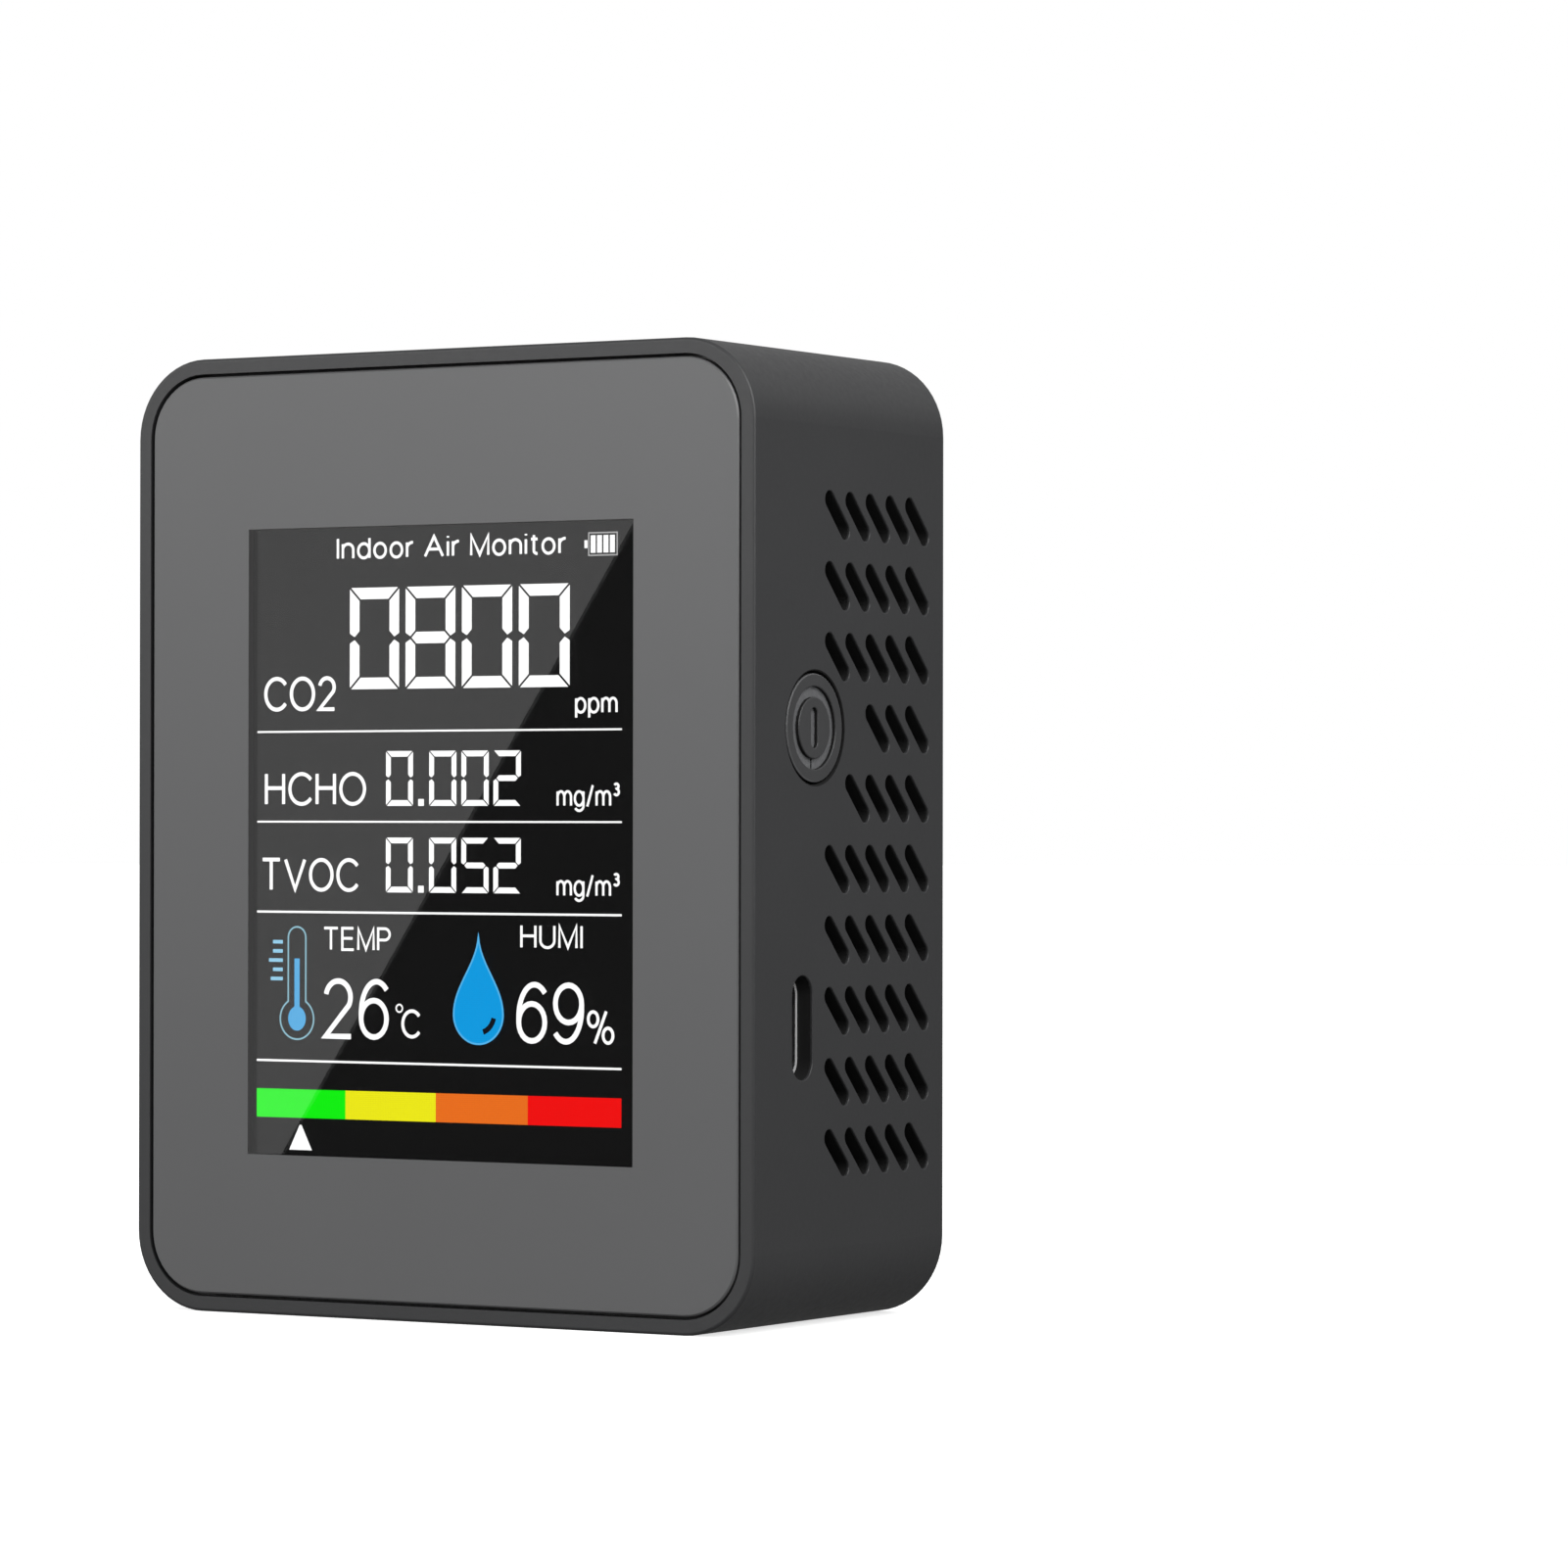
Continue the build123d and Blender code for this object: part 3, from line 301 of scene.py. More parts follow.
    def drive(self, socket, value):
        self.links.new(value, self.shader.inputs[socket])
        return self

    def rough(self, noise, low, high):
        """Roughness that drifts between two values."""
        return self.drive("Roughness", self.drifting(noise, low, high))

    def shining(self, strength):
        """White light of that strength from the surface."""
        self.shader.inputs["Emission Color"].default_value = (1, 1, 1, 1)
        self.shader.inputs["Emission Strength"].default_value = strength
        return self

    def bump(self, height, depth_mm, strength=1.0):
        """Relief of that depth. A second call adds to the first."""
        links = {"Height": height, "Distance": depth_mm * MM, "Strength": strength}
        if self.relief is not None:
            links["Normal"] = self.relief
        self.relief = self.add("ShaderNodeBump", links).outputs["Normal"]
        self.links.new(self.relief, self.shader.inputs["Normal"])
        return self


def moulded(name, colour, roughness, grain=7.0, depth=0.012, drift=0.06, **sockets):
    """Moulded plastic: a fine spark-eroded grain, and a surface whose shine drifts a little."""
    look = Look(name, colour, roughness, **sockets)
    look.vary(look.noise(0.12, detail=4), drift)
    look.rough(look.noise(0.6, detail=4), roughness - 0.05, roughness + 0.06)
    look.bump(look.noise(grain, detail=4, roughness=0.7), depth)
    return look


def polished(name, colour, roughness, ripple=0.002, **sockets):
    """Polished or glazed surface with the faint ripple and hairlines of a real one."""
    look = Look(name, colour, roughness, **sockets)
    look.vary(look.noise(0.2, detail=3), 0.05)
    look.rough(look.noise(1.2, detail=5), roughness * 0.8, roughness * 1.3 + 0.01)
    look.bump(look.noise(0.25, detail=2), ripple)
    return look


def metal(name, colour, roughness, brush=(14, 14, 0.6), depth=0.004, **sockets):
    """Plated or rolled metal, with fine lines along one way."""
    look = Look(name, colour, roughness, Metallic=1.0, **sockets)
    lines = look.noise(1.0, detail=5, stretch=brush)
    look.vary(look.noise(0.5, detail=4), 0.08)
    look.rough(lines, max(0.05, roughness - 0.08), roughness + 0.1)
    look.bump(lines, depth)
    return look


def casing_look():
    """Black ABS with a satin, spark-eroded texture outside. Its holes and inside get painted shade:
    near-black and fully rough.
    """
    look = Look("casing_plastic", (0.037, 0.0375, 0.039), 0.42, Specular_IOR_Level=0.5)
    low, high = (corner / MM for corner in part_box("main_shell"))
    cover_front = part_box("battery_tape")[1].y / MM
    axes = look.axes()
    from_middle = look.add("ShaderNodeMath", {0: axes["X"]}, operation="ABSOLUTE").outputs[0]
    # Painted shade: the walls of the vents and the inside of the casing are painted near-black
    inside = look.all_of(
        look.past(from_middle, high.x - SKIN, -SKIN),
        look.past(axes["Y"], low.y + RIM_DEPTH, 0.1),
        look.past(axes["Y"], cover_front, -0.1),
        look.past(axes["Z"], low.z + END_DEPTH, 0.2),
        look.past(axes["Z"], high.z - END_DEPTH, -0.2),
    )
    on_the_right = look.past(axes["X"], 0, 1)
    # Painted shade on the wall of the power button's hole
    button_hole = look.all_of(look.past(look.from_button(), HOLE_R + HOLE_WALL, -0.04), on_the_right)
    painted_shade = look.either(inside, button_hole)
    drift = look.noise(0.08, detail=5)
    outside = look.mixed(drift, (0.034, 0.0345, 0.036), (0.040, 0.0405, 0.042))
    look.paint(look.mixed(painted_shade, outside, PAINTED_SHADE_BLACK))
    shine = look.drifting(look.noise(1.6, detail=5), 0.38, 0.47)
    look.drive("Roughness", look.blended(painted_shade, shine, 1.0))
    look.bump(look.noise(6.0, detail=5, roughness=0.72), 0.016, 0.6)
    look.bump(look.grains(3.2, feature="SMOOTH_F1"), 0.006, 0.4)
    return look


def cover_look():
    """Black ABS of the back cover, with a coarser texture than the casing's."""
    look = Look("cover_plastic", (0.026, 0.0265, 0.028), 0.5, Specular_IOR_Level=0.5)
    look.vary(look.noise(0.08, detail=5), 0.10)
    look.rough(look.noise(1.2, detail=5), 0.46, 0.56)
    look.bump(look.grains(2.6, feature="SMOOTH_F1"), 0.03, 0.7)
    look.bump(look.noise(7.0, detail=4, roughness=0.7), 0.012, 0.6)
    return look


def panel_look():
    """Dark grey front panel with a smooth satin lacquer. The walls of its opening are painted darker, as
    painted shade.
    """
    look = Look("panel_lacquer", PANEL_GREY, 0.33, Specular_IOR_Level=0.5)
    low, high = (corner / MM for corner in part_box("display_window"))
    axes = look.axes()
    edge = 0.02
    # Painted shade: the walls of the opening are painted darker
    opening = look.all_of(
        look.past(axes["X"], low.x - 2 * edge, edge),
        look.past(axes["X"], high.x + 2 * edge, -edge),
        look.past(axes["Z"], low.z - 2 * edge, edge),
        look.past(axes["Z"], high.z + 2 * edge, -edge),
    )
    darker, lighter = ([c * share for c in PANEL_GREY] for share in (0.97, 1.03))
    face = look.mixed(look.noise(0.05, detail=4), darker, lighter)
    look.paint(look.mixed(opening, face, (0.045, 0.045, 0.045)))
    look.rough(look.noise(2.2, detail=5), 0.30, 0.36)
    look.bump(look.noise(9.0, detail=3, roughness=0.65), 0.004, 0.5)
    return look


def window_look():
    """Polished acrylic, smoked so that its back face hardly mirrors the room."""
    look = Look("window_acrylic", (SMOKE, SMOKE, SMOKE), 0.0, Transmission_Weight=1.0, IOR=1.49)
    look.vary(look.noise(0.1, detail=2), 0.01)
    look.rough(look.noise(3.0, detail=6), 0.0, 0.003)
    return look


def button_look():
    """The casing's plastic, with a painted highlight on the cap's edge and painted shade on the sign's walls
    and the cap's side. The sign cut into it has a light floor.
    """
    face_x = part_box("power_button")[1].x / MM
    look = Look("button_plastic", (0.046, 0.0465, 0.048), 0.4, Specular_IOR_Level=0.5)
    across = look.axes()["X"]
    from_axis = look.from_button()
    step, margin = 0.03, 0.06

    def deeper(depth):
        """1 below that depth under the cap's face."""
        return look.past(across, face_x - depth, -step)

    def within(radius):
        """1 nearer than that radius to the button's axis."""
        return look.past(from_axis, radius + step, -step)

    inside_sign = within(SIGN_R)
    at_floor = look.all_of(deeper(SIGN_DEPTH - margin), look.opposite(deeper(SIGN_DEPTH + margin)))
    # Painted shade on the walls of the sign
    walls = look.all_of(inside_sign, deeper(margin))
    # The band at the cap's edge gets a painted highlight, and the cap's side wall below it gets painted shade
    outer_edge = look.opposite(within(CAP_R - CAP_EDGE))
    side_wall = look.all_of(outer_edge, deeper(CAP_EDGE))
    painted_shade = look.either(walls, side_wall)
    face = look.mixed(look.noise(0.3, detail=4), (0.042, 0.0425, 0.044), (0.052, 0.0525, 0.054))
    body = look.mixed(outer_edge, face, (0.11, 0.111, 0.114))
    pale_floor = look.mixed(look.noise(2.5, detail=5), (0.085, 0.086, 0.09), (0.155, 0.157, 0.162))
    painted = look.mixed(painted_shade, body, PAINTED_SHADE_BLACK)
    look.paint(look.mixed(look.all_of(inside_sign, at_floor), painted, pale_floor))
    shine = look.drifting(look.noise(2.0, detail=5), 0.36, 0.44)
    look.drive("Roughness", look.blended(painted_shade, shine, 0.9))
    look.bump(look.noise(7.0, detail=5, roughness=0.72), 0.012, 0.6)
    return look


def steel_look():
    """Nickel-plated steel. The rim of the USB-C socket is paler, less metallic and rougher: partly its bare
    sheared edge, partly a painted highlight.
    """
    look = Look("plated_steel", (0.60, 0.60, 0.61), 0.26, Metallic=1.0)
    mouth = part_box("usb_shell")[1].x / MM
    rim_depth = 0.04
    # Painted highlight: the socket's rim is painted pale and made less metallic, on top of its sheared edge
    rim = look.past(look.axes()["X"], mouth - rim_depth, rim_depth / 2)
    lines = look.noise(1.0, detail=5, stretch=(14, 14, 0.6))
    plated = look.mixed(look.noise(0.5, detail=4), (0.55, 0.55, 0.56), (0.65, 0.65, 0.66))
    look.paint(look.mixed(rim, plated, (0.8, 0.8, 0.8)))
    look.drive("Metallic", look.blended(rim, 1.0, 0.3))
    look.drive("Roughness", look.blended(rim, look.drifting(lines, 0.18, 0.36), 0.5))
    look.bump(lines, 0.004)
    return look


def board_look(name, mask, copper):
    """Solder mask over tracks, with tinned vias whose middles are painted black, as painted shade of their
    holes.
    """
    look = Look(name, mask, 0.3, Coat_Weight=0.4, Coat_Roughness=0.12)
    tracks = look.add(
        "ShaderNodeTexVoronoi",
        {"Vector": look.millimetres, "Scale": 0.34},
        feature="DISTANCE_TO_EDGE",
        distance="MANHATTAN",
    ).outputs["Distance"]
    track = look.ranged(tracks, 0.05, 0.07, 1, 0)
    spots = look.grains(0.42, feature="F1")
    via = look.ranged(spots, 0.10, 0.115, 1, 0)
    # Painted shade: near-black spots in the middles of the vias stand for their holes
    hole = look.ranged(spots, 0.045, 0.055, 1, 0)
    colour = look.mixed(track, mask, copper)
    colour = look.mixed(via, colour, (0.72, 0.71, 0.68))
    look.paint(look.mixed(hole, colour, (0.01, 0.01, 0.01)))
    look.drive("Metallic", via)
    look.rough(look.noise(1.5, detail=4), 0.24, 0.36)
    look.bump(track, 0.03)
    look.bump(look.noise(5.0, detail=3), 0.004)
    return look


def foil_look():
    """The embossed aluminium laminate of a pouch cell."""
    look = Look("pouch_foil", (0.62, 0.63, 0.65), 0.32, Metallic=1.0)
    look.vary(look.noise(0.15, detail=4), 0.07)
    look.rough(look.noise(0.7, detail=5), 0.26, 0.42)
    look.bump(look.noise(0.22, detail=3, distortion=0.8), 0.12)
    look.bump(look.grains(1.5, feature="SMOOTH_F1"), 0.02)
    return look


def ceramic_look():
    """Small capacitors: a tan body between tinned ends."""
    look = Look("capacitor_ceramic", (0.42, 0.30, 0.18), 0.45)
    look.vary(look.noise(1.6, detail=4), 0.2)
    look.rough(look.noise(4.0, detail=3), 0.38, 0.55)
    look.bump(look.noise(9.0, detail=3), 0.008)
    return look


def foam_look():
    """Closed-cell foam tape."""
    look = Look("foam_tape", (0.02, 0.02, 0.021), 0.85, Sheen_Weight=0.2)
    look.vary(look.noise(2.0, detail=4), 0.25)
    look.rough(look.noise(3.0), 0.78, 0.92)
    look.bump(look.grains(4.5, feature="F1"), 0.05)
    return look


def polariser_look():
    """The dark film of a screen that is on: nearly black, with a very fine grid of picture cells."""
    look = Look("polariser_film", (0.009, 0.0092, 0.0098), 0.6, Specular_IOR_Level=0.05)
    look.vary(look.noise(0.3, detail=3), 0.15)
    look.rough(look.noise(2.5, detail=4), 0.55, 0.65)
    look.bump(look.noise(8.0, detail=2), 0.002)
    return look


def wire_look(name, colour):
    """Silicone insulation, slightly uneven and dusty."""
    look = Look(name, colour, 0.5, Sheen_Weight=0.15)
    look.vary(look.noise(0.8, detail=4), 0.15)
    look.rough(look.noise(3.0, detail=4), 0.42, 0.6)
    look.bump(look.noise(1.6, detail=4, stretch=(1, 1, 0.3)), 0.02)
    return look


LOOKS = {
    "casing": casing_look,
    "cover": cover_look,
    "panel": panel_look,
    "window": window_look,
    "button": button_look,
    "tape": foam_look,
    "polariser": polariser_look,
    "glass": lambda: polished("display_glass", (0.8, 0.84, 0.84), 0.04, Transmission_Weight=0.9, IOR=1.52),
    "backlight": lambda: moulded("backlight_plastic", (0.78, 0.78, 0.76), 0.5, depth=0.006),
    "light_guide": lambda: polished("light_guide_acrylic", (0.9, 0.92, 0.94), 0.08, Transmission_Weight=0.7),
    "flex": lambda: polished("polyimide_film", (0.45, 0.20, 0.035), 0.28, ripple=0.01),
    "circuit_board": lambda: board_look("main_board_mask", (0.012, 0.085, 0.04), (0.03, 0.17, 0.08)),
    "sensor_board": lambda: board_look("sensor_board_mask", (0.008, 0.03, 0.12), (0.02, 0.07, 0.24)),
    "chip": lambda: moulded("chip_epoxy", (0.016, 0.016, 0.018), 0.5, grain=12.0, depth=0.006),
    "ferrite": lambda: moulded("ferrite", (0.05, 0.05, 0.053), 0.62, grain=8.0, depth=0.02, drift=0.2),
    "ceramic": ceramic_look,
    "alumina": lambda: moulded("alumina", (0.8, 0.79, 0.75), 0.6, grain=10.0, depth=0.01),
    "black_plastic": lambda: moulded("black_nylon", (0.015, 0.015, 0.017), 0.48),
    "white_plastic": lambda: moulded("white_nylon", (0.7, 0.68, 0.62), 0.45, depth=0.008),
    "steel": steel_look,
    "screw": lambda: metal("black_zinc", (0.07, 0.07, 0.074), 0.34, brush=(5, 5, 5), depth=0.01),
    "tin": lambda: metal("tinned_copper", (0.68, 0.68, 0.67), 0.3, brush=(6, 6, 2)),
    "gold": lambda: metal("gold_plate", (0.83, 0.58, 0.22), 0.22, brush=(8, 8, 2)),
    "foil": foil_look,
    "amber_tape": lambda: polished("amber_tape", (0.50, 0.24, 0.03), 0.25, ripple=0.03),
    "red_wire": lambda: wire_look("red_silicone", (0.42, 0.012, 0.012)),
    "black_wire": lambda: wire_look("black_silicone", (0.015, 0.015, 0.015)),
}


def finish_cad_nodes():
    """Gives every CAD node the material of its slot."""
    made = {slot: build().material for slot, build in LOOKS.items()}
    for part in record["subparts"]:
        mesh = nodes[part["node"]].data
        mesh.materials.clear()
        mesh.materials.append(made[part["material_slot"]])


# ---- lettering ----

# Plain stroke letters: how wide each is, and the lines that draw it, where a capital is 1 high. The bowls of
# small letters reach LOWER, and tails reach BELOW.
LOWER, BELOW = 0.73, -0.27
LETTER_GAP, WORD_GAP = 0.24, 0.34
BOWL_X, BOWL_Z = 0.27, LOWER / 2
ARCH = 0.44  # where a small letter's stem turns into its arch


def arch(left, right):
    """The arch of an n and its right leg."""
    middle, reach = (left + right) / 2, (right - left) / 2
    return arc(middle, ARCH, reach, LOWER - ARCH, 180, 0) + [(right, 0)]


BOWL = arc(BOWL_X, BOWL_Z, BOWL_X, BOWL_Z)
STEM, TALL_STEM = [(0, 0), (0, LOWER)], [(0, 0), (0, 1)]
SIX = [arc(0.30, 0.33, 0.30, 0.33), arc(0.36, 0.42, 0.36, 0.58, 48, 180) + [(0, 0.33)]]
LETTERS = {
    "A": (0.84, [[(0, 0), (0.42, 1), (0.84, 0)], [(0.15, 0.36), (0.69, 0.36)]]),
    "C": (0.80, [arc(0.45, 0.5, 0.45, 0.5, 38, 322)]),
    "E": (0.60, [[(0.60, 0), (0, 0), (0, 1), (0.58, 1)], [(0, 0.53), (0.54, 0.53)]]),
    "H": (0.66, [TALL_STEM, [(0.66, 0), (0.66, 1)], [(0, 0.53), (0.66, 0.53)]]),
    "I": (0.0, [TALL_STEM]),
    "M": (0.80, [[(0, 0), (0, 1), (0.40, 0.02), (0.80, 1), (0.80, 0)]]),
    "O": (0.90, [arc(0.45, 0.5, 0.45, 0.5)]),
    "P": (0.60, [[(0, 0), (0, 1)] + arc(0.34, 0.735, 0.26, 0.265, 90, -90) + [(0, 0.47)]]),
    "T": (0.72, [[(0, 1), (0.72, 1)], [(0.36, 0), (0.36, 1)]]),
    "U": (0.66, [[(0, 1)] + arc(0.33, 0.33, 0.33, 0.33, 180, 360) + [(0.66, 1)]]),
    "V": (0.80, [[(0, 1), (0.40, 0.02), (0.80, 1)]]),
    "d": (0.54, [BOWL, [(0.54, 0), (0.54, 1)]]),
    "g": (0.54, [BOWL, [(0.54, LOWER)] + arc(0.27, 0.0, 0.27, -BELOW, 0, -150)]),
    "i": (0.0, [STEM, [(0, 0.92), (0, 1)]]),
    "m": (0.84, [STEM, arch(0, 0.42), arch(0.42, 0.84)]),
    "n": (0.50, [STEM, arch(0, 0.50)]),
    "o": (0.54, [BOWL]),
    "p": (0.54, [BOWL, [(0, BELOW), (0, LOWER)]]),
    "r": (0.28, [STEM, arc(0.28, ARCH, 0.28, LOWER - ARCH, 180, 90)]),
    "t": (0.30, [[(0.13, 0.93)] + arc(0.30, 0.15, 0.17, 0.15, 180, 270), [(0, LOWER), (0.30, LOWER)]]),
    "2": (0.60, [arc(0.30, 0.71, 0.29, 0.29, 170, -30) + [(0, 0), (0.60, 0)]]),
    "6": (0.60, SIX),
    "9": (0.60, [[(0.60 - x, 1 - z) for x, z in stroke] for stroke in SIX]),
    "/": (0.34, [[(0, -0.05), (0.34, 1.05)]]),
    "³": (0.30, [arc(0.15, 0.99, 0.13, 0.13, 150, -80) + arc(0.15, 0.70, 0.15, 0.16, 80, -150)]),
    "%": (
        0.96,
        [arc(0.19, 0.76, 0.19, 0.24), arc(0.77, 0.24, 0.19, 0.24), [(0.26, -0.02), (0.70, 1.02)]],
    ),
}


def lettering(text, x, z, width, height, weight):
    """Lines that write the text. It runs for width from x, and its capitals are height tall from z."""
    pen, placed = 0.0, []
    for character in text:
        if character == " ":
            pen += WORD_GAP
            continue
        letter_width, strokes = LETTERS[character]
        placed += [[(pen + px, pz) for px, pz in stroke] for stroke in strokes]
        pen += letter_width + LETTER_GAP
    across, up = (width - weight) / max(pen - LETTER_GAP, weight), height - weight
    return [[(x + weight / 2 + px * across, z + weight / 2 + pz * up) for px, pz in line] for line in placed]


# ---- the screen's picture ----

PICTURE_T = 0.01 * MM
PICTURE_Y = (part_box("display_window")[1].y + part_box("lcd_polariser")[0].y) / 2
LIFT = 0.012  # how far a piece that lies on another stands before it, in millimetres
CELL_PITCH, CELL_GAP = 0.18, 0.02  # one picture cell, in millimetres
CELL_DIM, GAP_DIM = 0.97, 0.8  # how bright every other cell and the gaps are
DIMMED = 0.82  # the share of the light that is left in a gap

WHITE = (1.0, 1.0, 1.0)
GREEN, YELLOW, ORANGE, RED = (0.0, 1.0, 0.0), (0.97, 0.93, 0.005), (0.93, 0.175, 0.01), (1.0, 0.0, 0.0)
DROP_BLUE, RIM_BLUE, MERCURY_BLUE = (0.0, 0.37, 0.86), (0.10, 0.52, 0.95), (0.08, 0.45, 0.84)
OUTLINE_BLUE, TICK_BLUE, MARK_BLUE = (0.27, 0.53, 0.64), (0.30, 0.66, 0.90), (0.0, 0.002, 0.008)

# Layout, in millimetres in the row frame
PICTURE_LEFT, PICTURE_RIGHT = -20.45, 19.25
RULES = [(53.49, 0.17), (45.24, 0.17), (36.97, 0.20), (23.32, 0.20)]  # height and line weight
# Digits: width, height, a bar's width and the gap between bars
BIG_SIZE, SMALL_SIZE = (5.42, 9.24, 1.05, 0.28), (2.95, 4.98, 0.52, 0.16)
BIG_X, BIG_Z, BIG_STEP = -10.12, 57.32, 6.14
SMALL_XS, POINT_X, POINT_SIZE = (-6.1, -1.37, 2.13, 5.59), -2.57, 0.62
# Rows of readings: name, digits, baseline, the name's left end and width, the unit's baseline
READING_ROWS = [("HCHO", "0002", 46.69, -19.6, 11.3, 46.6), ("TVOC", "0052", 38.83, -20.0, 10.9, 38.58)]
NAME_H, NAME_LINE = 3.1, 0.34
UNIT_X, UNIT_W, UNIT_H, UNIT_LINE = 12.35, 6.7, 1.95, 0.23
BAR_Z, BAR_H = 18.1, 2.62
POINTER_X, POINTER_Z, POINTER_W, POINTER_TIP, POINTER_H = -15.52, 15.16, 2.54, 0.2, 2.3
BATTERY_X, BATTERY_Z, BATTERY_W, BATTERY_H = 15.72, 69.0, 3.0, 2.0
BATTERY_CELLS, BATTERY_ROOM, BATTERY_STEP, BATTERY_CELL_W = 4, 0.22, 0.675, 0.505
BATTERY_TIP_REACH, BATTERY_TIP_W, BATTERY_TIP_H, BATTERY_LINE = 0.45, 0.32, 0.7, 0.12
TUBE_X, TUBE_TOP, BULB_BOTTOM, TUBE_R, BULB_R, TUBE_LINE = -15.95, 35.6, 25.3, 0.98, 1.87, 0.16
MERCURY_Z, MERCURY_W, MERCURY_H = 27.5, 0.58, 5.2
MERCURY_BULB_Z, MERCURY_BULB_W, MERCURY_BULB_H = 27.2, 1.96, 2.24
TICK_RIGHT, TICK_TOP, TICK_STEP, TICK_H = -17.55, 34.05, 0.845, 0.33
TICK_LENGTHS = (1.1, 1.1, 1.55, 1.1, 1.35)
DEGREE_X, DEGREE_Z, DEGREE_R, DEGREE_LINE = -4.6, 28.32, 0.34, 0.15
DROP_X, DROP_Z, DROP_R, DROP_H, DROP_STEPS = 4.0, 25.15, 2.75, 10.15, 18
# The drop's bright rim: how far it lies inside its edge and how much less tall it is
RIM_IN, RIM_SHORTER, RIM_LINE = 0.09, 0.25, 0.16
MARK_Z, MARK_R, MARK_ANGLES, MARK_LINE = 27.95, 1.7, (-72, -12), 0.5

# Labels: name, text, left end, baseline, width, height of a capital, line weight
LABELS = [
    ("picture_title", "Indoor Air Monitor", -11.6, 69.15, 25.0, 2.05, 0.26),
    ("picture_co2", "CO2", -19.7, 55.35, 8.05, 3.2, 0.36),
    ("picture_ppm", "ppm", 14.3, 54.9, 4.5, 1.95, 0.24),
    ("picture_temp", "TEMP", -13.05, 33.45, 7.5, 2.2, 0.25),
    ("picture_temp_digits", "26", -13.0, 25.4, 7.25, 5.55, 0.50),
    ("picture_celsius", "C", -4.38, 25.6, 2.1, 2.65, 0.31),
    ("picture_humi", "HUMI", 8.5, 33.88, 6.65, 2.2, 0.25),
    ("picture_humi_digits", "69", 8.1, 25.38, 7.2, 5.55, 0.50),
    ("picture_percent", "%", 15.6, 25.45, 2.9, 3.05, 0.29),
]

# Segments of a digit: a top, b and c right, d bottom, e and f left, g middle
SEGMENTS = {"0": "abcdef", "2": "abged", "5": "afgcd", "8": "abcdefg"}


def glow(name, colour, strength=1.0):
    """Light from the screen, faintly divided into picture cells. The strength is what passes the window."""
    look = Look(name, (0.0, 0.0, 0.0), 0.5, Specular_IOR_Level=0.0)
    turned = look.add("ShaderNodeMapping", {"Vector": look.millimetres, "Rotation": (math.pi / 2, 0, 0)})
    sizes = {"Scale": 1.0, "Brick Width": CELL_PITCH, "Row Height": CELL_PITCH, "Mortar Size": CELL_GAP}
    shades = (("Color1", 1.0), ("Color2", CELL_DIM), ("Mortar", GAP_DIM))
    greys = {socket: (shade, shade, shade, 1) for socket, shade in shades}
    values = {"Vector": turned.outputs["Vector"], **sizes, **greys}
    cells = look.add("ShaderNodeTexBrick", values, offset=0.0).outputs["Color"]
    bright = look.add("ShaderNodeRGBToBW", {"Color": cells}).outputs["Val"]
    dimmed = [c * DIMMED for c in colour]
    look.drive("Emission Color", look.mixed(look.ranged(bright, GAP_DIM, 1.0, 0, 1), dimmed, colour))
    look.shader.inputs["Emission Strength"].default_value = strength / SMOKE
    return look.material


def digit_segments(digit, x, z, width, height, bar, gap):
    """Outlines of the lit segments of one digit, mitred where they meet, with a gap between them."""
    half, middle = bar / 2, z + height / 2
    left, right, top = x, x + width, z + height
    shoulder = half * 0.6
    g = gap / 2
    shapes = {
        "a": [(left + g, top), (right - g, top), (right - bar - g, top - bar), (left + bar + g, top - bar)],
        "f": [
            (left, top - g),
            (left + bar, top - bar - g),
            (left + bar, middle + half + g),
            (left + half, middle + g),
            (left, middle + shoulder + g),
        ],
        "g": [
            (left + half + g, middle),
            (left + bar + g, middle + half),
            (right - bar - g, middle + half),
            (right - half - g, middle),
            (right - bar - g, middle - half),
            (left + bar + g, middle - half),
        ],
    }
    # The other segments mirror those: right from left, and bottom from top
    shapes["b"] = [(left + right - px, pz) for px, pz in shapes["f"]]
    for lower, upper in (("c", "b"), ("d", "a"), ("e", "f")):
        shapes[lower] = [(px, 2 * middle - pz) for px, pz in shapes[upper]]
    return [shapes[segment] for segment in SEGMENTS[digit]]


def drop_outline(x, z, radius, height):
    """A water drop: a round bottom, and sides that swing up to a point."""
    reach = height - radius
    shares = [i / DROP_STEPS for i in range(1, DROP_STEPS)]
    side = [(radius * math.cos(math.pi / 2 * t) ** 2, z + radius + reach * t) for t in shares]
    right = [(x + width, rise) for width, rise in side]
    left = [(x - width, rise) for width, rise in reversed(side)]
    return arc(x, z + radius, radius, radius, 180, 360, 36) + right + [(x, z + height)] + left


def thermometer_line(x, top, bottom, tube_r, bulb_r):
    """The outline of a thermometer's glass: a tube with a round top over a round bulb."""
    neck = math.degrees(math.asin(tube_r / bulb_r))
    tube = arc(x, top - tube_r, tube_r, tube_r, 0, 180, 20)
    return tube + arc(x, bottom + bulb_r, bulb_r, bulb_r, 90 + neck, 450 - neck, 48) + tube[:1]


def show(name, material, shapes=(), strokes=(), weight=0.0, lift=0.0):
    """One bright piece of the picture, made of flat shapes and of lines of one weight."""
    made = bmesh.new()
    for outline in shapes:
        add_slab(made, outline, PICTURE_Y - lift * MM, PICTURE_T)
    for points in strokes:
        add_stroke(made, points, weight, PICTURE_Y - lift * MM, PICTURE_T)
    bmesh.ops.recalc_face_normals(made, faces=made.faces)
    piece = add_mesh(name, made, material)
    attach(piece, BODY)


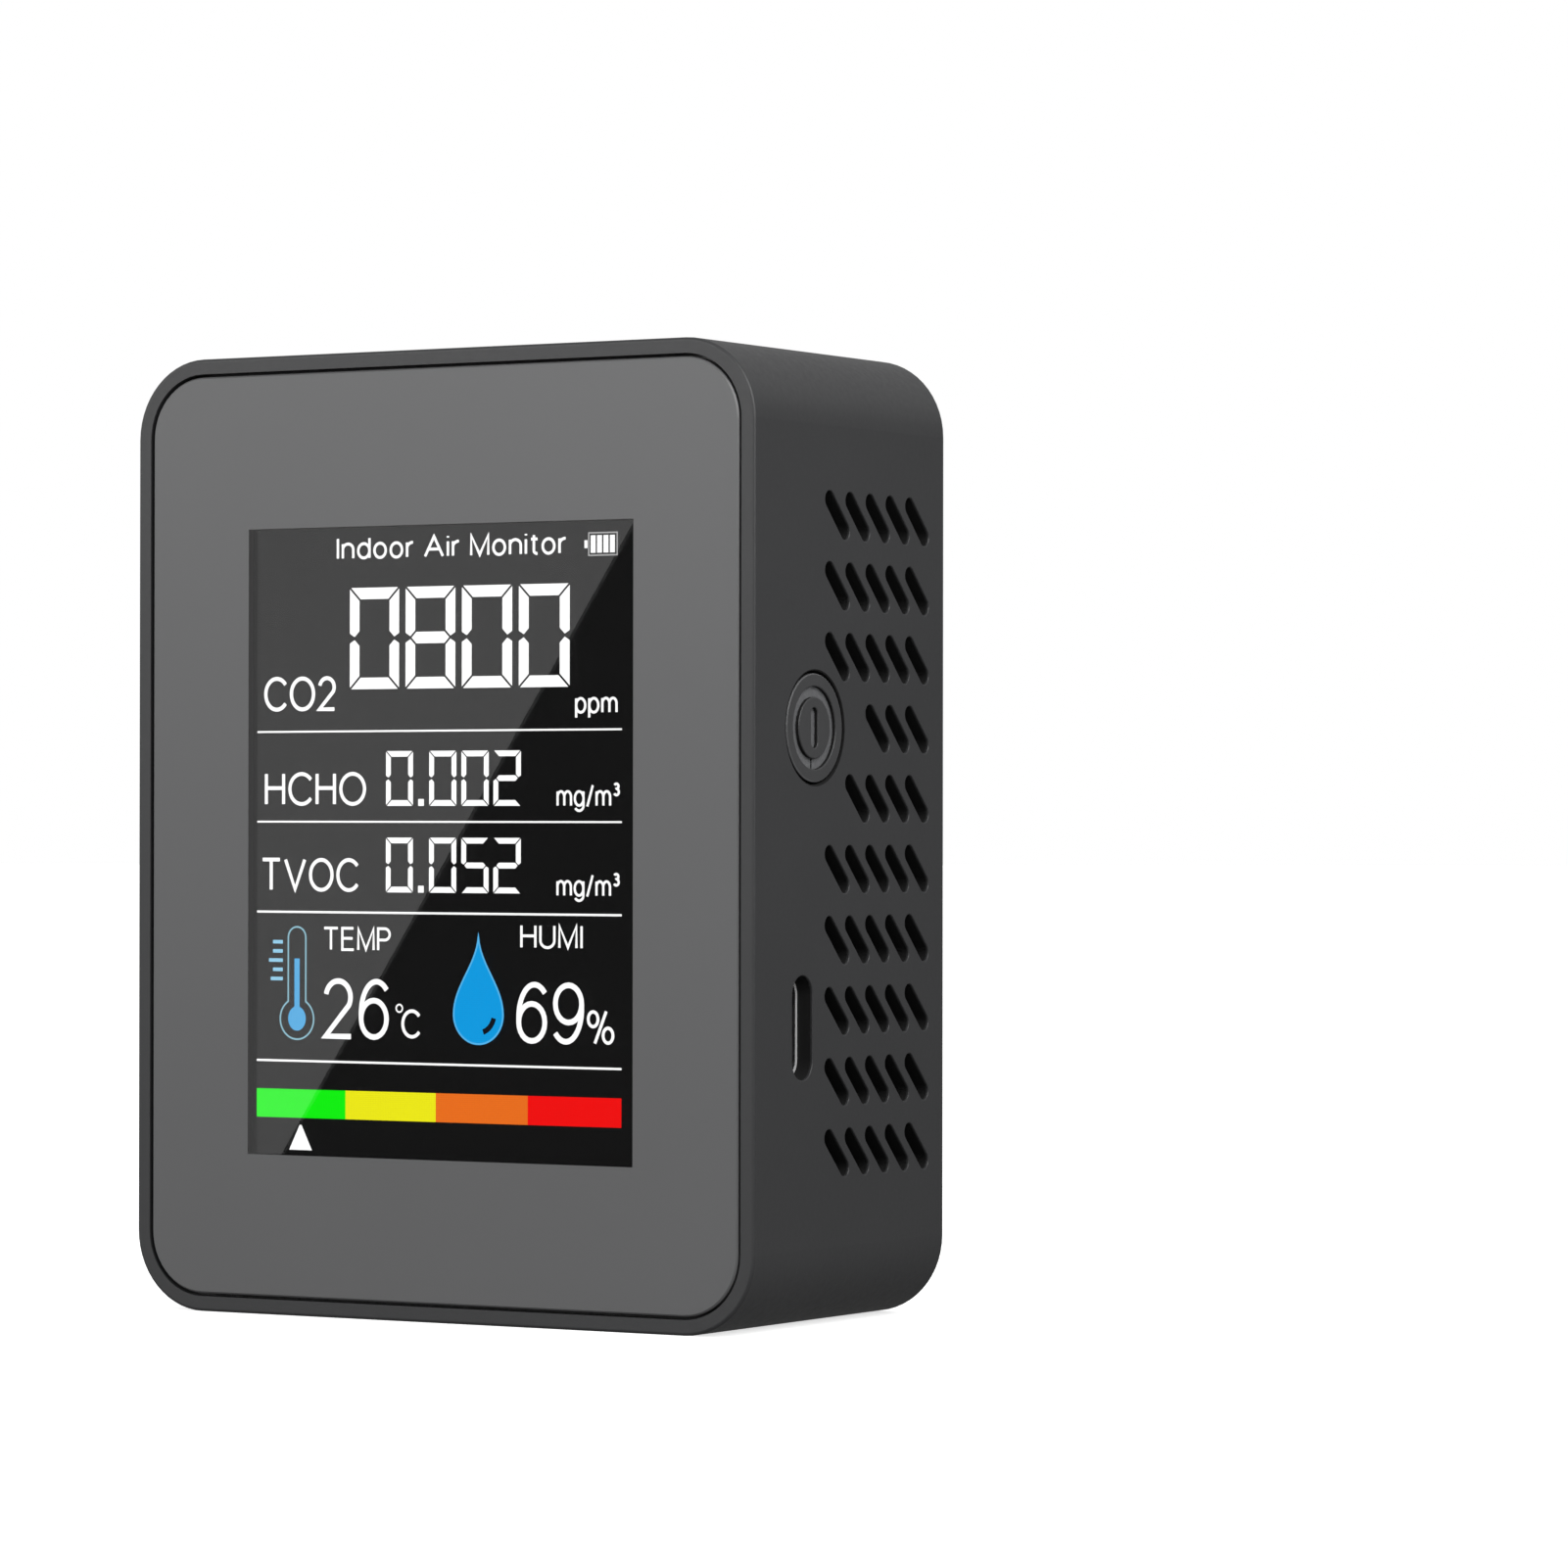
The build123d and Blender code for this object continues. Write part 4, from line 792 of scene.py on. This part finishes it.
def show_readings(white):
    """The seven-segment readings of carbon dioxide, formaldehyde and organic vapour."""
    outlines = []
    for i, digit in enumerate("0800"):
        outlines += digit_segments(digit, BIG_X + i * BIG_STEP, BIG_Z, *BIG_SIZE)
    show("picture_main_digits", white, outlines)
    for label, digits, z, label_x, label_width, unit_z in READING_ROWS:
        outlines = [box_outline(POINT_X, z, POINT_SIZE, POINT_SIZE)]
        for digit, x in zip(digits, SMALL_XS):
            outlines += digit_segments(digit, x, z, *SMALL_SIZE)
        name = f"picture_{label.lower()}"
        show(f"{name}_digits", white, outlines)
        letters = lettering(label, label_x, z, label_width, NAME_H, NAME_LINE)
        show(name, white, strokes=letters, weight=NAME_LINE)
        unit = lettering("mg/m³", UNIT_X, unit_z, UNIT_W, UNIT_H, UNIT_LINE)
        show(f"{name}_unit", white, strokes=unit, weight=UNIT_LINE)


def show_battery(white):
    """The sign of a full battery, with its tip to the left."""
    left, bottom = BATTERY_X + BATTERY_ROOM, BATTERY_Z + BATTERY_ROOM
    cell_height = BATTERY_H - 2 * BATTERY_ROOM
    cells = [
        box_outline(left + i * BATTERY_STEP, bottom, BATTERY_CELL_W, cell_height)
        for i in range(BATTERY_CELLS)
    ]
    tip_z = BATTERY_Z + (BATTERY_H - BATTERY_TIP_H) / 2
    tip = box_outline(BATTERY_X - BATTERY_TIP_REACH, tip_z, BATTERY_TIP_W, BATTERY_TIP_H)
    case = box_outline(BATTERY_X, BATTERY_Z, BATTERY_W, BATTERY_H)
    show("picture_battery", white, [tip] + cells)
    grey = glow("picture_grey", (0.45, 0.45, 0.45))
    show("picture_battery_case", grey, strokes=[case + case[:1]], weight=BATTERY_LINE)


def show_climate(white):
    """The signs for temperature and humidity."""
    outline = thermometer_line(TUBE_X, TUBE_TOP, BULB_BOTTOM, TUBE_R, BULB_R)
    show("picture_thermometer", glow("picture_pale_blue", OUTLINE_BLUE), strokes=[outline], weight=TUBE_LINE)
    mercury = box_outline(TUBE_X - MERCURY_W / 2, MERCURY_Z, MERCURY_W, MERCURY_H)
    pool = arc(TUBE_X, MERCURY_BULB_Z, MERCURY_BULB_W / 2, MERCURY_BULB_H / 2, steps=36)[:-1]
    show("picture_mercury", glow("picture_mercury_blue", MERCURY_BLUE), [mercury, pool])
    ticks = [
        box_outline(TICK_RIGHT - length, TICK_TOP - TICK_STEP * i, length, TICK_H)
        for i, length in enumerate(TICK_LENGTHS)
    ]
    show("picture_ticks", glow("picture_tick_blue", TICK_BLUE), ticks)
    degree = arc(DEGREE_X, DEGREE_Z, DEGREE_R, DEGREE_R)
    show("picture_degree", white, strokes=[degree], weight=DEGREE_LINE)
    drop = drop_outline(DROP_X, DROP_Z, DROP_R, DROP_H)
    show("picture_drop", glow("picture_drop_blue", DROP_BLUE), [drop])
    rim = drop_outline(DROP_X, DROP_Z + RIM_IN, DROP_R - RIM_IN, DROP_H - RIM_SHORTER)
    rim_blue = glow("picture_rim_blue", RIM_BLUE)
    show("picture_drop_rim", rim_blue, strokes=[rim + rim[:1]], weight=RIM_LINE, lift=LIFT)
    mark = arc(DROP_X, MARK_Z, MARK_R, MARK_R, *MARK_ANGLES)
    mark_blue = glow("picture_dark_blue", MARK_BLUE)
    show("picture_drop_mark", mark_blue, strokes=[mark], weight=MARK_LINE, lift=LIFT)


def show_scale(white):
    """The colour bar from good to bad air, and its pointer."""
    colours = {"green": GREEN, "yellow": YELLOW, "orange": ORANGE, "red": RED}
    step = (PICTURE_RIGHT - PICTURE_LEFT) / len(colours)
    for i, (name, colour) in enumerate(colours.items()):
        outline = box_outline(PICTURE_LEFT + i * step, BAR_Z, step, BAR_H)
        show(f"picture_bar_{name}", glow(f"picture_{name}", colour), [outline])
    foot, tip = POINTER_W / 2, POINTER_TIP / 2
    pointer = [
        (POINTER_X - foot, POINTER_Z),
        (POINTER_X + foot, POINTER_Z),
        (POINTER_X + tip, POINTER_Z + POINTER_H),
        (POINTER_X - tip, POINTER_Z + POINTER_H),
    ]
    show("picture_pointer", white, [pointer])


def build_picture():
    """Everything that the screen shows, as thin bright pieces between the window and the screen's film."""
    white = glow("picture_white", WHITE, 1.25)
    for name, text, x, z, width, height, weight in LABELS:
        show(name, white, strokes=lettering(text, x, z, width, height, weight), weight=weight)
    show_readings(white)
    show_battery(white)
    show_climate(white)
    show_scale(white)
    length = PICTURE_RIGHT - PICTURE_LEFT
    rules = [box_outline(PICTURE_LEFT, z - line / 2, length, line) for z, line in RULES]
    show("picture_rules", white, rules)


# ---- studio ----

FLOOR_R = 6.0
MIDDLE = (cad_box[0] + cad_box[1]) / 2
FLOOR_GLOW = 0.7
# Light from all round, at the foot and at the top of the room, as matt surfaces and as shiny ones see it, and
# what matt surfaces get from behind as well. It climbs between those heights of a sky of radius 1.
SOFT_LOW, SOFT_HIGH, SOFT_BEHIND, SOFT_CLIMB = 0.25, 0.5, 0.8, (-0.3, 0.5)
SHINY_LOW, SHINY_HIGH, SHINY_CLIMB = 0.13, 0.4, (0.06, 0.4)
# Lights: name, azimuth and elevation in degrees, distance, width and height, radiance. The key light is on
# the left of the front, just above where the window would mirror it. The fill is close on the right.
LIGHTS = [
    ("key", (-30.8, 17), 1.1, (1.4, 0.4), 3.1),
    ("fill", (62, 32), 0.32, (0.2, 0.25), 4.4),
]
# The gleam on the window, as (x, z) in millimetres on the window's face. Its long edge leans from the
# window's upper right corner to the left of its lower edge.
GLEAM = [(29.1, 84.1), (-21.9, 7.6), (-60.0, 7.6), (-60.0, 110.0), (29.1, 110.0)]
GLEAM_REACH = 2.5  # the card's distance from the camera's mirror image, as a multiple of the window's
GLEAM_LIGHT = 1.12


def add_floor():
    """A round, plain white floor that glows a little, so that it stays white to its edge."""
    made = bmesh.new()
    bmesh.ops.create_circle(made, cap_ends=True, segments=96, radius=FLOOR_R)
    look = Look("floor_paint", (0.8, 0.8, 0.8), 0.7, Specular_IOR_Level=0.1)
    floor = add_mesh("floor", made, look.shining(FLOOR_GLOW).material)
    floor.visible_diffuse = False
    floor.visible_glossy = False
    floor.visible_transmission = False


def add_world():
    """White where the camera sees it. As light, it is bright above and behind, and dim at the foot."""
    world = bpy.data.worlds.new("studio")
    world.use_nodes = True
    tree = world.node_tree
    background = tree.nodes["Background"]
    background.inputs["Color"].default_value = (1, 1, 1, 1)
    direction = tree.nodes.new("ShaderNodeTexCoord").outputs["Generated"]
    parts = tree.nodes.new("ShaderNodeSeparateXYZ")
    tree.links.new(direction, parts.inputs[0])
    path = tree.nodes.new("ShaderNodeLightPath")

    def climb(axis, low, high, start, end):
        """Goes smoothly from low to high as the direction's part along the axis goes from start to end."""
        node = tree.nodes.new("ShaderNodeMapRange")
        node.interpolation_type = "SMOOTHSTEP"
        for socket, value in (("From Min", start), ("From Max", end), ("To Min", low), ("To Max", high)):
            node.inputs[socket].default_value = value
        tree.links.new(parts.outputs[axis], node.inputs["Value"])
        return node.outputs["Result"]

    def choose(ray, otherwise, chosen):
        """chosen on rays of that kind. Each is a number or a socket."""
        node = tree.nodes.new("ShaderNodeMix")
        tree.links.new(path.outputs[ray], node.inputs[0])
        for index, value in ((2, otherwise), (3, chosen)):
            if isinstance(value, bpy.types.NodeSocket):
                tree.links.new(value, node.inputs[index])
            else:
                node.inputs[index].default_value = value
        return node.outputs[0]

    soft = tree.nodes.new("ShaderNodeMath")
    soft.operation = "ADD"
    tree.links.new(climb("Z", SOFT_LOW, SOFT_HIGH, *SOFT_CLIMB), soft.inputs[0])
    tree.links.new(climb("Y", 0, SOFT_BEHIND, 0, 1), soft.inputs[1])
    shiny = climb("Z", SHINY_LOW, SHINY_HIGH, *SHINY_CLIMB)
    light = choose("Is Glossy Ray", soft.outputs[0], shiny)
    tree.links.new(choose("Is Camera Ray", light, 1.0), background.inputs["Strength"])
    bpy.context.scene.world = world


def add_area_light(name, way, distance, size, radiance):
    """A rectangular soft light, of that width and height, that lies in that direction from the monitor."""
    data = bpy.data.lights.new(name, "AREA")
    data.shape, data.size, data.size_y = "RECTANGLE", *size
    data.energy = radiance * math.pi * size[0] * size[1]
    lamp = bpy.data.objects.new(name, data)
    azimuth, elevation = (math.radians(angle) for angle in way)
    to_light = Vector(
        (
            math.sin(azimuth) * math.cos(elevation),
            -math.cos(azimuth) * math.cos(elevation),
            math.sin(elevation),
        )
    )
    lamp.location = MIDDLE + to_light * distance
    lamp.rotation_euler = (-to_light).to_track_quat("-Z", "Y").to_euler()
    bpy.context.scene.collection.objects.link(lamp)


def add_card(name, corners, light):
    """A pale card that only reflections see."""
    made = bmesh.new()
    made.faces.new([made.verts.new(corner) for corner in corners])
    look = Look(name, (0.0, 0.0, 0.0), 1.0)
    card = add_mesh(name, made, look.shining(light).material)
    card.visible_camera = False
    card.visible_diffuse = False
    card.visible_shadow = False


def add_gleam():
    """The card whose reflection is the gleam, as the camera's mirror image sees it through the window."""
    window_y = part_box("display_window")[0].y
    image = Vector((CAMERA_PLACE.x, 2 * window_y - CAMERA_PLACE.y, CAMERA_PLACE.z))
    on_window = [Vector((x * MM, window_y, z * MM)) for x, z in GLEAM]
    add_card("gleam_card", [image + (point - image) * GLEAM_REACH for point in on_window], GLEAM_LIGHT)


add_camera()
finish_cad_nodes()
build_picture()
add_floor()
add_world()
for light in LIGHTS:
    add_area_light(*light)
add_gleam()

bpy.context.scene.view_settings.view_transform = "Standard"
bpy.context.scene.view_settings.look = "None"
